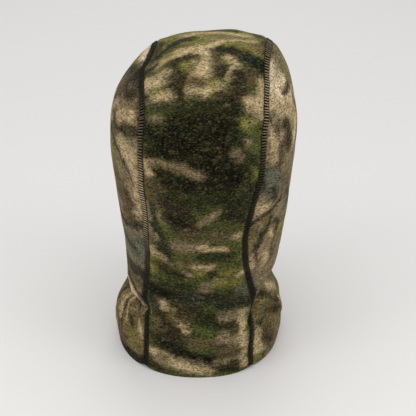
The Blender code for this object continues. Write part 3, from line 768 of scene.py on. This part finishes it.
def colours_from_strokes(across, along, strokes, base, seed, scale=1.0):
    """The colours at places on a panel: print, and on the side panels a few strokes of painted highlight and
    shade; each stroke's edge wanders, and flecks of ink stray over it.
    """

    def grain(size_across, size_along, offset, layers=2):
        return flat_noise(across * scale / size_across, along / size_along, seed + offset, layers)

    x = across + (4.0 * grain(11, 9, 0, 3) + 2.8 * grain(3.6, 2.6, 5)) / scale
    y = along + 3.4 * grain(12, 8, 11, 3) + 2.0 * grain(3.6, 2.2, 17)
    colours = np.broadcast_to(INKS[base], across.shape + (3,)).copy()
    for stroke in strokes:
        colours = lay_ink(colours, x, y, *stroke, scale)
    # soft mottling with a second ink, and flecks that are lighter or darker than what they lie on
    for ink, low, high, most, size, offset in SPECKS:
        cover = most * np.clip((grain(size, 0.55 * size, offset, 3) - low) / (high - low), 0, 1)[..., None]
        colours = colours * (1 - cover) + cover * INKS[ink]
    colours = colours * (1 + 0.34 * grain(14, 7, 23, 3) + 0.34 * grain(4.2, 2.0, 29))[..., None]
    light = 0.22 * np.clip(grain(3.6, 1.7, 31) * 2.4 - 0.72, 0, 1)[..., None]
    colours = colours * (1 - light) + light * (0.6 * INKS["olive"] + 0.3 * INKS["tan"])
    dark = 0.30 * np.clip(grain(4.0, 1.9, 37) * 2.4 - 0.7, 0, 1)[..., None]
    return np.clip(colours * (1 - dark), 0.002, 0.9)


SEAM_DARKENS, SEAM_GROOVE = 0.90, 0.0032


def seam_shade(seam):
    """Painted shade: the cloth is painted darker in the groove beside a seam's thread, where shade falls."""
    return (1 - SEAM_DARKENS * np.exp(-((seam / SEAM_GROOVE) ** 4)))[..., None]


# ---------------------------------------------------------------- materials
NAP_SCALE = (420.0, 780.0, 1.0)  # tufts to a metre, across and along the cloth
TUFT_TIPS = 0.6 * INKS["olive"] + 0.45 * INKS["taupe"]


def new_material(name, roughness, sheen=0.0, sheen_roughness=0.5, specular=0.25):
    made = bpy.data.materials.new(name)
    made.use_nodes = True
    shader = made.node_tree.nodes["Principled BSDF"]
    shader.inputs["Roughness"].default_value = roughness
    shader.inputs["Sheen Weight"].default_value = sheen
    shader.inputs["Sheen Roughness"].default_value = sheen_roughness
    shader.inputs["Specular IOR Level"].default_value = specular
    return made, made.node_tree, shader


def node(tree, kind, **settings):
    made = tree.nodes.new(kind)
    for key, value in settings.items():
        if key in made.inputs:
            made.inputs[key].default_value = value
        else:
            setattr(made, key, value)
    return made


def placed(tree, kind, place, **settings):
    """A node whose vector comes from another node's output."""
    made = node(tree, kind, **settings)
    tree.links.new(place, made.inputs["Vector"])
    return made


def rescaled(tree, value, low, high, to_low=0.0, to_high=1.0):
    """An output carried over from one range of values to another."""
    made = node(tree, "ShaderNodeMapRange")
    for name, number in (("From Min", low), ("From Max", high), ("To Min", to_low), ("To Max", to_high)):
        made.inputs[name].default_value = number
    tree.links.new(value, made.inputs["Value"])
    return made.outputs["Result"]


def multiplied(tree, shade, colour=None):
    """A colour, or the one each vertex has, times an output."""
    made = node(tree, "ShaderNodeMix", data_type="RGBA", blend_type="MULTIPLY", Factor=1.0)
    if colour is None:
        dyed = node(tree, "ShaderNodeAttribute", attribute_name="print")
        tree.links.new(dyed.outputs["Color"], made.inputs["A"])
    else:
        made.inputs["A"].default_value = (*colour, 1.0)
    tree.links.new(shade, made.inputs["B"])
    return made.outputs["Result"]


def finish_look(tree, shader, colour, height, strength, distance):
    """Links a colour and a bump to the shader."""
    tree.links.new(colour, shader.inputs["Base Color"])
    bump = node(tree, "ShaderNodeBump", Strength=strength, Distance=distance)
    tree.links.new(height, bump.inputs["Height"])
    tree.links.new(bump.outputs["Normal"], shader.inputs["Normal"])


def fleece_material():
    """Napped fleece: the print, broken up by fine wavy tufts that lie across the cloth."""
    made, tree, shader = new_material("camo_fleece_print", 0.96, 0.06, 0.28, 0.06)
    shader.inputs["Sheen Tint"].default_value = (1.0, 0.95, 0.8, 1.0)
    link = tree.links.new
    place = node(tree, "ShaderNodeUVMap", uv_map="cloth").outputs["UV"]
    wavy = placed(tree, "ShaderNodeTexNoise", place, Scale=95.0, Detail=2.0)
    bend = node(tree, "ShaderNodeVectorMath", operation="MULTIPLY_ADD")
    bend.inputs[1].default_value = (0.0, 0.006, 0.0)
    link(wavy.outputs["Color"], bend.inputs[0])
    link(place, bend.inputs[2])
    stretch = placed(tree, "ShaderNodeMapping", bend.outputs["Vector"], Scale=NAP_SCALE)
    noise_settings = {"Scale": 1.0, "Detail": 3.0, "Roughness": 0.62, "Distortion": 0.6}
    tufts = placed(tree, "ShaderNodeTexNoise", stretch.outputs["Vector"], **noise_settings).outputs["Fac"]
    lit = node(tree, "ShaderNodeMix", data_type="RGBA", blend_type="MIX", B=(*TUFT_TIPS, 1.0))
    link(rescaled(tree, tufts, 0.56, 0.72, 0.0, 0.42), lit.inputs["Factor"])
    link(multiplied(tree, rescaled(tree, tufts, 0.33, 0.67, 0.10, 2.0)), lit.inputs["A"])
    finish_look(tree, shader, lit.outputs["Result"], tufts, 0.55, 0.0007)
    return made


def thread_material(name, colour=None):
    made, tree, shader = new_material(name, 0.7, 0.03)
    place = node(tree, "ShaderNodeTexCoord").outputs["Object"]
    grain = placed(tree, "ShaderNodeTexNoise", place, Scale=900.0, Detail=2.0).outputs["Fac"]
    shaded = multiplied(tree, rescaled(tree, grain, 0.3, 0.7, 0.62, 1.3), colour)
    finish_look(tree, shader, shaded, grain, 0.4, 0.0002)
    return made


def knit_material(name, colour, ribs, depth=0.0004):
    """Fine rib knit: ribs run across the strip, along its second UV direction."""
    made, tree, shader = new_material(name, 0.85, 0.15)
    place = node(tree, "ShaderNodeUVMap", uv_map="cloth").outputs["UV"]
    wave = placed(tree, "ShaderNodeTexWave", place, wave_type="BANDS", bands_direction="X", Scale=ribs)
    wave.inputs["Distortion"].default_value = 0.5
    wave.inputs["Detail"].default_value = 1.0
    grain = placed(tree, "ShaderNodeTexNoise", place, Scale=700.0, Detail=2.0)
    both = node(tree, "ShaderNodeMath", operation="MULTIPLY")
    tree.links.new(wave.outputs["Fac"], both.inputs[0])
    tree.links.new(grain.outputs["Fac"], both.inputs[1])
    height = both.outputs["Value"]
    shaded = multiplied(tree, rescaled(tree, height, 0.0, 1.0, 0.55, 1.9), colour)
    finish_look(tree, shader, shaded, height, 0.6, depth)
    return made


FLEECE_LOOK = fleece_material()
THREAD_LOOK = thread_material("seam_thread_look", srgb(112, 98, 68))
LADDER_LOOK = thread_material("ladder_thread_look")
DARK_THREAD_LOOK = thread_material("inner_thread_look", srgb(96, 84, 62))
BINDING_LOOK = knit_material("binding_rib_knit", srgb(70, 64, 46), 260.0)
ELASTIC_LOOK = knit_material("elastic_braid", srgb(214, 210, 198), 500.0)
LABEL_LOOK = knit_material("label_satin_weave", srgb(226, 222, 212), 1400.0, 0.0001)


# ---------------------------------------------------------------- the panels
def distances_along_rows(grid):
    steps = np.linalg.norm(np.diff(grid, axis=1), axis=2)
    start = np.concatenate([np.zeros((len(grid), 1)), np.cumsum(steps, axis=1)], axis=1)
    return start, start[:, -1:] - start


OPENING_LINE = opening_edge(np.linspace(0, 2 * np.pi, 241)[:-1])
NEAR_OPENING = (0.13, 0.30)  # heights between which the opening is looked for


def to_opening(points):
    """Distance to the eye opening's edge."""
    flat = points.reshape(-1, 3)
    best = np.full(len(flat), 1.0)
    near = (flat[:, 1] < 0) & (flat[:, 2] > NEAR_OPENING[0]) & (flat[:, 2] < NEAR_OPENING[1])
    if near.any():
        picked = flat[near]
        found = np.full(len(picked), 1.0)
        for spot in OPENING_LINE:
            found = np.minimum(found, np.linalg.norm(picked - spot, axis=1))
        best[near] = found
    return best.reshape(points.shape[:-1])


def finish_panel(obj, node_name):
    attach(obj, "root")
    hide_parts(node_name)


def inside_of(colours):
    """The print shows faintly through to the inside."""
    return 0.30 * colours + 0.70 * INKS["taupe"] * 0.75


def make_crown_panel():
    grid = crown_panel_grid()
    start, end = distances_along_rows(grid)
    seam = np.minimum(start, end)
    opening = to_opening(grid)
    length = lengths_along(grid[:, CROWN_COLUMNS // 2])
    cloth = np.stack([start, np.broadcast_to(length[:, None], start.shape)], axis=-1)
    rng = np.random.default_rng(11)
    strokes = wild_strokes(rng, (-55, 405), (55, 560), 46) + list(CROWN_PRINT)
    grid = twisted(grid)
    above = np.arctan2(np.maximum(grid[..., 2] - HEAD["level"], 0), grid[..., 1])
    along = (np.minimum(grid[..., 2], HEAD["level"]) + CROWN_RADIUS * np.where(above > 0, above, 0)) / MM
    along = np.where(np.arange(len(grid))[:, None] < ROWS_TO_HEAD, grid[..., 2] / MM, along)
    colours = colours_from_strokes(grid[..., 0] / MM, along, strokes, "moss", 101)
    grid, _ = hung(grid, seam, opening)
    # the cloth beside the seams gets painted shade in the grooves
    shaded = colours * seam_shade(seam)
    made = cloth_shell("crown_panel_fleece", grid, -1, cloth, shaded, inside_of(colours), FLEECE_LOOK)
    finish_panel(made, "crown_panel")


# A side panel's own strokes, the stretch of turn and height for mixed ones, and the seeds.
SIDE_STROKES = {
    "left": (LEFT_STROKES, (78, 0), (182, 340), 5, 211),
    "right": (RIGHT_STROKES, (-182, 0), (-82, 340), 8, 311),
}


def make_side_panel(side):
    grid = side_panel_grid()
    _, end = distances_along_rows(grid)
    below = np.concatenate([LOW_HEIGHTS, HEAD["level"] + CROWN_SHARES]) < ROW_TO_OPENING
    front = np.where(below[:, None], end, 1.0)
    line = crown_row_points(1.0, SEAM_GAP / 2)
    line = points_along(line, np.linspace(0, lengths_along(line)[-1], 150))
    seam = np.minimum(near_line(grid, line, 0.02)[0], front)
    cloth = spread_out(grid) * np.array([TURN_RADIUS, 1.0])
    if side == "right":
        grid = grid * MIRROR
        cloth[..., 0] *= -1
    opening = to_opening(grid)
    grid = twisted(grid)
    places = spread_out(grid)
    own, low, high, stroke_seed, seed = SIDE_STROKES[side]
    rng = np.random.default_rng(stroke_seed)
    strokes = wild_strokes(rng, low, high, 170, DEGREE_OF_TURN) + list(own)
    across, along = np.degrees(places[..., 0]), places[..., 1] / MM
    colours = colours_from_strokes(across, along, strokes, "taupe", seed, DEGREE_OF_TURN)
    grid, _ = hung(grid, seam, opening)
    outwards = -1 if side == "left" else 1
    cloth += np.array([0.3, 0.0])
    # the cloth beside the seam gets painted shade in the groove
    shaded = colours * seam_shade(seam)
    made = cloth_shell(f"{side}_side_fleece", grid, outwards, cloth, shaded, inside_of(colours), FLEECE_LOOK)
    finish_panel(made, f"{side}_side_panel")


# ---------------------------------------------------------------- stitching
RUNG_PITCH = 0.0026
RUNG_HALF = 0.0027
RUNG_RADIUS = 0.00042
RUNG_SHAPE = np.array([0.7, 0.95, 1.0, 1.05, 1.0, 0.95, 0.7])
NEEDLE_RADIUS = 0.00028
SEAM_START, SEAM_STOP_SHORT = 0.0008, 0.0015
# The rungs' colours are painted light and shade: dark where the groove shades them, pale where light falls on
# them.
SHADED_THREAD, LIT_THREAD, NEEDLE_DYE = srgb(36, 33, 24), srgb(192, 174, 138), srgb(34, 29, 20)
# Where along each seam the rungs are painted pale as painted light, and over what length; elsewhere they are
# painted dark as painted shade in the groove.
THREAD_LIT_SPANS = {"left": (0.215, 0.062), "right": (0.315, 0.048), "front": (0.09, 0.10)}


def seam_base(which):
    """A seam's middle line on the plain shape, from the hem to just short of the binding."""
    short = BINDING_WIDTH + SEAM_STOP_SHORT
    if which == "front":
        return at_height(0.0, np.linspace(SEAM_START, OPENING_BOTTOM - short, 220), -1)
    line = crown_row_points(1.0)
    line = points_along(line, np.linspace(SEAM_START, lengths_along(line)[-1] - short, 620))
    return twisted(line if which == "left" else line * MIRROR)


def laid_on_cloth(line, offsets, lift):
    """Rows of points across a seam, on the hung cloth's outer face (lift above it) or inner (below)."""
    forward = unit(np.gradient(line, axis=0))
    sideways = unit(np.cross(normals_of(line), forward))
    base = onto_surface(line[:, None] + offsets[None, :, None] * sideways[:, None])
    seam = np.broadcast_to(np.abs(offsets)[None, :], base.shape[:2])
    moved, normals = hung(base, seam, to_opening(base))
    return moved + lift * normals, normals


def make_ladder(which, look):
    base = seam_base(which)
    length = lengths_along(base)[-1]
    count = int(length / RUNG_PITCH)
    rng = np.random.default_rng(77 + len(which))
    places = (np.arange(count) + 0.5) * RUNG_PITCH + rng.normal(0, 0.00012, count)
    centres = points_along(base, places)
    offsets = np.linspace(-RUNG_HALF, RUNG_HALF, len(RUNG_SHAPE))
    rows, normals = laid_on_cloth(centres, offsets, RUNG_RADIUS + 0.00025)
    # rungs bridge the groove: lifted at the middle
    rows += (0.00055 * (1 - (offsets / RUNG_HALF) ** 2))[None, :, None] * normals
    rows += rng.normal(0, 0.00009, (count, 1, 1)) * unit(np.gradient(centres, axis=0))[:, None]
    middle, spread = THREAD_LIT_SPANS[which]
    # painted light along the seam: how far each rung is painted pale rather than shaded dark
    lit_share = bell(places - middle, spread) * (0.8 + 0.4 * flat_noise(places / 0.02, 0 * places, 51, 2))
    parts = [tube(row, RUNG_RADIUS * RUNG_SHAPE, 5, up=up) for row, up in zip(rows, normals, strict=True)]
    thread_colours = [SHADED_THREAD + pale * (LIT_THREAD - SHADED_THREAD) for pale in lit_share]
    for offset in (-RUNG_HALF, RUNG_HALF):
        steps = max(8, count * 4)
        line = points_along(base, np.linspace(0.0002, length - 0.0002, steps))
        laid, up = laid_on_cloth(line, np.array([offset]), 0.0002)
        beat = 0.5 - 0.5 * np.cos(2 * np.pi * np.arange(steps) / 4)
        laid = laid[:, 0] + (0.00022 * beat)[:, None] * up[:, 0]
        parts.append(tube(laid, NEEDLE_RADIUS * (0.7 + 0.4 * beat), 5, up=up[:, 0]))
        thread_colours.append(NEEDLE_DYE)
    made = new_object(f"{which}_ladder_stitch", *joined(parts), look, sharp=None)
    add_vertex_colours(made, np.repeat(thread_colours, [len(part[0]) for part in parts], axis=0))
    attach(made, "root")
    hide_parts(f"{which}_seam_outer_thread")


def make_inner_loops(which, look):
    base = seam_base(which)
    length = lengths_along(base)[-1]
    steps = int(length / (RUNG_PITCH / 2))
    line = points_along(base, np.linspace(0.0004, length - 0.0004, steps))
    rows, normals = laid_on_cloth(line, np.array([-0.0022, 0.0, 0.0022]), -FLEECE - 0.0007)
    zigzag, ups = [], []
    for i in range(steps):
        side = 0 if i % 2 else 2
        zigzag += [rows[i, side]]
        ups += [normals[i, side]]
        if i + 1 < steps:
            zigzag += [(rows[i, side] + rows[i + 1, 2 - side]) / 2 - 0.0002 * normals[i, 1]]
            ups += [normals[i, 1]]
    parts = [tube(np.array(zigzag), 0.00034, 5, up=np.array(ups))]
    for k in (0, 2):
        parts.append(tube(rows[:, k] + 0.0003 * normals[:, k], 0.0003, 5, up=normals[:, k]))
    made = new_object(f"{which}_inner_loops", *joined(parts), look, sharp=None)
    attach(made, "root")
    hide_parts(f"{which}_seam_inner_thread")


# ---------------------------------------------------------------- the eye opening
OPENING_STEPS = 420
FOLD = 0.0026
OUTER_FLANGE = 0.0007
INNER_FLANGE = -FLEECE - 0.0008
STRIP = 0.001
RIPPLE = 0.00035
ELASTIC_RADIUS = 0.0009
HALF_WAY_IN = (OUTER_FLANGE + INNER_FLANGE) / 2
HALF_GAP = (OUTER_FLANGE - INNER_FLANGE) / 2


def round_opening(section, steps=OPENING_STEPS, ripple=0.0):
    """Loops round the hung eye opening. A section's points are (metres out from the edge, metres outside)."""
    fine = opening_edge(np.linspace(0, 2 * np.pi, 1441))
    edge = points_along(fine, np.linspace(0, lengths_along(fine)[-1], steps + 1)[:-1])
    forward = unit(np.roll(edge, -1, axis=0) - np.roll(edge, 1, axis=0))
    outwards = unit(np.cross(forward, normals_of(edge)))
    away = np.sum(outwards * (edge - np.array([0, edge[:, 1].mean(), EYE_LEVEL])), axis=1)
    outwards *= np.sign(away.sum())
    loops = []
    for out, lift in section:
        base = onto_surface(edge + out * outwards)
        near = np.full(steps, max(out, 0.0))
        moved, normals = hung(base, np.full(steps, 1.0), near)
        wave = ripple * noise(edge / 0.0045, 61) * (0.4 + 0.6 * min(max(out / BINDING_WIDTH, 0), 1))
        loops.append(moved + (lift + wave)[:, None] * normals)
    return np.stack(loops, axis=1), lengths_along(np.concatenate([edge, edge[:1]]))


def rounded_strip():
    """The folded strip's section: the face outside, round the fold, and back along its inner face."""
    outs = np.linspace(BINDING_WIDTH, 0.0, 9)
    swell = 0.0006 * np.sin(np.pi * (outs / BINDING_WIDTH) ** 0.8) ** 2
    swell -= 0.0007 * bell(outs - BINDING_WIDTH, 0.0008)
    bends = np.linspace(0, np.pi, 9)[1:-1]

    def fold(bends, thick):
        outs, lifts = -(FOLD + thick) * np.sin(bends), HALF_WAY_IN + (HALF_GAP + thick) * np.cos(bends)
        return list(zip(outs, lifts, strict=True))

    outer = list(zip(outs, OUTER_FLANGE + STRIP + swell, strict=True))
    back = [(out, INNER_FLANGE - STRIP) for out in outs[::-1]]
    inner = [(out, INNER_FLANGE) for out in outs]
    front = [(out, OUTER_FLANGE) for out in outs[::-1]]
    return outer + fold(bends, STRIP) + back + inner + fold(bends[::-1], 0) + front


def sweep_faces(count, sides):
    i, j = cells(count, sides)
    here, there, k = i * sides, (i + 1) % count * sides, (j + 1) % sides
    return np.stack([here + j, here + k, there + k, there + j], axis=1)


def add_sweep_uvs(made, count, sides, along, around):
    """UVs for a closed sweep: metres along and around, and a layout for baking."""
    i, j = cells(count, sides)
    u = np.stack([along[i], along[i], along[i + 1], along[i + 1]], axis=1)
    v = np.stack([around[j], around[j + 1], around[j + 1], around[j]], axis=1)
    flat = np.stack([u, v], axis=-1).reshape(-1, 2)
    add_uv(made, "cloth", flat)
    scale = np.array([0.98 / along[-1], 0.98 / around[-1]])
    add_baking_uv(made, 0.01 + flat * scale)


def make_sweep(name, section, look, ripple=0.0, sharp=None):
    loops, along = round_opening(section, ripple=ripple)
    count, sides = loops.shape[:2]
    made = new_object(name, loops.reshape(-1, 3), sweep_faces(count, sides), look, sharp=sharp)
    ring = np.concatenate([loops[0], loops[0][:1]])
    add_sweep_uvs(made, count, sides, along, lengths_along(ring))
    return made


def make_binding():
    made = make_sweep("eye_binding_strip", rounded_strip(), BINDING_LOOK, ripple=RIPPLE, sharp=60)
    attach(made, "root")
    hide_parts("eye_opening_binding")


def make_elastic():
    angles = np.linspace(0, 2 * np.pi, 13)[:-1]
    outs, lifts = ELASTIC_RADIUS * np.cos(angles) - FOLD / 2, ELASTIC_RADIUS * np.sin(angles) + HALF_WAY_IN
    section = list(zip(outs, lifts, strict=True))
    made = make_sweep("eye_elastic_cord", section, ELASTIC_LOOK)
    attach(made, "root")
    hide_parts("eye_opening_elastic")


BINDING_STITCHES, STEPS_TO_STITCH = 138, 8
STITCH_ROWS = (0.0026, 0.0066)  # how far out from the opening's edge


def make_binding_stitch(name, node_name, lift, look, zigzag):
    """Two rows of running stitches round the binding, joined by a zigzag on the inside."""
    steps = BINDING_STITCHES * STEPS_TO_STITCH
    rows = [round_opening([(out, lift)], steps, RIPPLE)[0][:, 0] for out in STITCH_ROWS]
    parts = []
    if zigzag:
        turns = range(BINDING_STITCHES * 2)
        line = np.array([rows[k % 2][k * STEPS_TO_STITCH // 2 % steps] for k in turns])
        parts.append(tube(line, 0.0003, 5, closed=True))
    arch = np.sin(np.linspace(0.0, np.pi, STEPS_TO_STITCH - 1))
    for row in rows:
        up = normals_of(row)
        for first in range(0, steps, STEPS_TO_STITCH):
            picked = slice(first, first + STEPS_TO_STITCH - 1)
            line = row[picked] + (0.00028 * arch - 0.0001)[:, None] * up[picked]
            parts.append(tube(line, 0.00034 * (0.65 + 0.4 * arch), 5, up=up[picked]))
    made = new_object(name, *joined(parts), look, sharp=None)
    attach(made, "root")
    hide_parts(node_name)


# ---------------------------------------------------------------- the care label
LABEL_WIDTH = 0.018
LABEL_LEVEL = 0.024
LABEL_HEIGHT = 0.030


def make_label():
    rows, columns = 25, 15
    x = np.linspace(-LABEL_WIDTH / 2, LABEL_WIDTH / 2, columns)[None, :]
    z = np.linspace(LABEL_LEVEL, LABEL_LEVEL + LABEL_HEIGHT, rows)[:, None]
    base = at_height(*np.broadcast_arrays(x, z), 1)
    moved, normals = hung(twisted(base), np.ones(base.shape[:2]), np.ones(base.shape[:2]))
    share = np.linspace(1, 0, rows)[:, None]
    curl = 0.0016 * share**2 + 0.0007 * share * (np.linspace(-1, 1, columns)[None, :] ** 2)
    face = moved - (FLEECE + 0.0009 + curl)[..., None] * normals
    back = face - 0.00045 * normals
    vertices = np.concatenate([face.reshape(-1, 3), back.reshape(-1, 3)])
    faces, _ = shell_faces(rows, columns)
    made = new_object("care_label_tab", vertices, faces, LABEL_LOOK)
    flat = np.stack(np.broadcast_arrays(x + 0.02, z), axis=-1).reshape(-1, 2)
    add_uv(made, "cloth", np.concatenate([flat, flat + 0.1])[faces.ravel()])
    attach(made, "root")
    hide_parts("care_label")
    # one row of small stitches near its top
    level = LABEL_LEVEL + LABEL_HEIGHT - 0.0026
    parts = []
    for left in np.arange(-0.0066, 0.0062, 0.0022):
        line = at_height(left + np.linspace(0, 0.0018, 7), level, 1)
        laid, up = hung(twisted(line), np.ones(7), np.ones(7))
        arch = np.sin(np.linspace(0, np.pi, 7))
        laid = laid - (FLEECE + 0.00155 + 0.0002 * arch)[:, None] * up
        parts.append(tube(laid, 0.0003 * (0.6 + 0.4 * arch), 5, up=up))
    made = new_object("care_label_stitching", *joined(parts), DARK_THREAD_LOOK, sharp=None)
    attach(made, "root")
    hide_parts("care_label_stitch")


# ---------------------------------------------------------------- stage, light and camera
# The floor is painted darker away from the camera: painted shade standing in for the light falling off across
# it.
FLOOR_FAR, FLOOR_NEAR = (0.585, 0.58, 0.575, 1.0), (0.80, 0.785, 0.765, 1.0)
SKY, SKY_STRENGTH = (0.99, 0.99, 1.0, 1.0), 0.42
SEEN_SKY = (0.80, 0.80, 0.795, 1.0)
LIT_PLACE = (0, 0, 0.15)
# Each area light's name, place, size and power.
AREA_LIGHTS = (
    ("left", (1.6, 0.9, 1.0), (0.8, 1.2), 6),
    ("right", (-1.6, 0.9, 1.0), (0.8, 1.2), 6),
    ("front", (0.0, -1.7, 1.1), (1.2, 0.8), 8),
)


def make_stage():
    mesh = bpy.data.meshes.new("floor")
    mesh.from_pydata([(-6, -6, 0), (6, -6, 0), (6, 6, 0), (-6, 6, 0)], [], [(0, 1, 2, 3)])
    floor = add_object("floor", mesh)
    look, tree, shader = new_material("pale_floor", 0.9, specular=0.1)
    place = node(tree, "ShaderNodeTexCoord").outputs["Object"]
    split = placed(tree, "ShaderNodeSeparateXYZ", place)
    # painted shade: the floor's colour darkens with distance from the camera
    pale = node(tree, "ShaderNodeMix", data_type="RGBA", A=FLOOR_FAR, B=FLOOR_NEAR)
    tree.links.new(rescaled(tree, split.outputs["Y"], -1.05, 0.14), pale.inputs["Factor"])
    tree.links.new(pale.outputs["Result"], shader.inputs["Base Color"])
    mesh.materials.append(look)


def make_lights():
    world = bpy.data.worlds.new("studio")
    world.use_nodes = True
    tree = world.node_tree
    background = tree.nodes["Background"]
    background.inputs["Color"].default_value = SKY
    background.inputs["Strength"].default_value = SKY_STRENGTH
    seen = node(tree, "ShaderNodeBackground", Color=SEEN_SKY, Strength=1.0)
    path = node(tree, "ShaderNodeLightPath")
    either = node(tree, "ShaderNodeMixShader")
    tree.links.new(path.outputs["Is Camera Ray"], either.inputs["Fac"])
    tree.links.new(background.outputs["Background"], either.inputs[1])
    tree.links.new(seen.outputs["Background"], either.inputs[2])
    tree.links.new(either.outputs["Shader"], tree.nodes["World Output"].inputs["Surface"])
    bpy.context.scene.world = world
    data = bpy.data.lights.new("above", "SUN")
    data.energy = 1.45
    data.angle = math.radians(75)
    add_object("above", data).rotation_euler = (math.radians(-12), 0, 0)
    for name, place, size, power in AREA_LIGHTS:
        data = bpy.data.lights.new(name, "AREA")
        data.shape = "RECTANGLE"
        data.size, data.size_y = size
        data.energy = power
        made = add_object(name, data)
        made.location = place
        made.rotation_euler = (Vector(LIT_PLACE) - Vector(place)).to_track_quat("-Z", "Y").to_euler()


def make_camera():
    distance, tilt, level = 1.1, math.radians(30), 0.150
    data = bpy.data.cameras.new("camera")
    data.sensor_width = 36
    data.lens = 95.2
    data.shift_x = 0.0144
    data.shift_y = -0.0063
    data.clip_start = 0.01
    made = add_object("camera", data)
    made.location = (0, TO_CAD[1] + distance * math.cos(tilt), level + distance * math.sin(tilt))
    made.rotation_euler = (math.pi / 2 - tilt, 0, math.pi)
    bpy.context.scene.camera = made


make_crown_panel()
make_side_panel("left")
make_side_panel("right")
for seam_name in ("left", "right", "front"):
    make_ladder(seam_name, LADDER_LOOK)
    make_inner_loops(seam_name, DARK_THREAD_LOOK)
make_binding()
make_elastic()
above, below = OUTER_FLANGE + STRIP + 0.0004, INNER_FLANGE - STRIP - 0.0005
make_binding_stitch("binding_topstitch", "binding_outer_stitch", above, THREAD_LOOK, zigzag=False)
make_binding_stitch("binding_coverstitch", "binding_inner_stitch", below, DARK_THREAD_LOOK, zigzag=True)
make_label()
make_stage()
make_lights()
make_camera()
bpy.context.scene.view_settings.view_transform = "Standard"
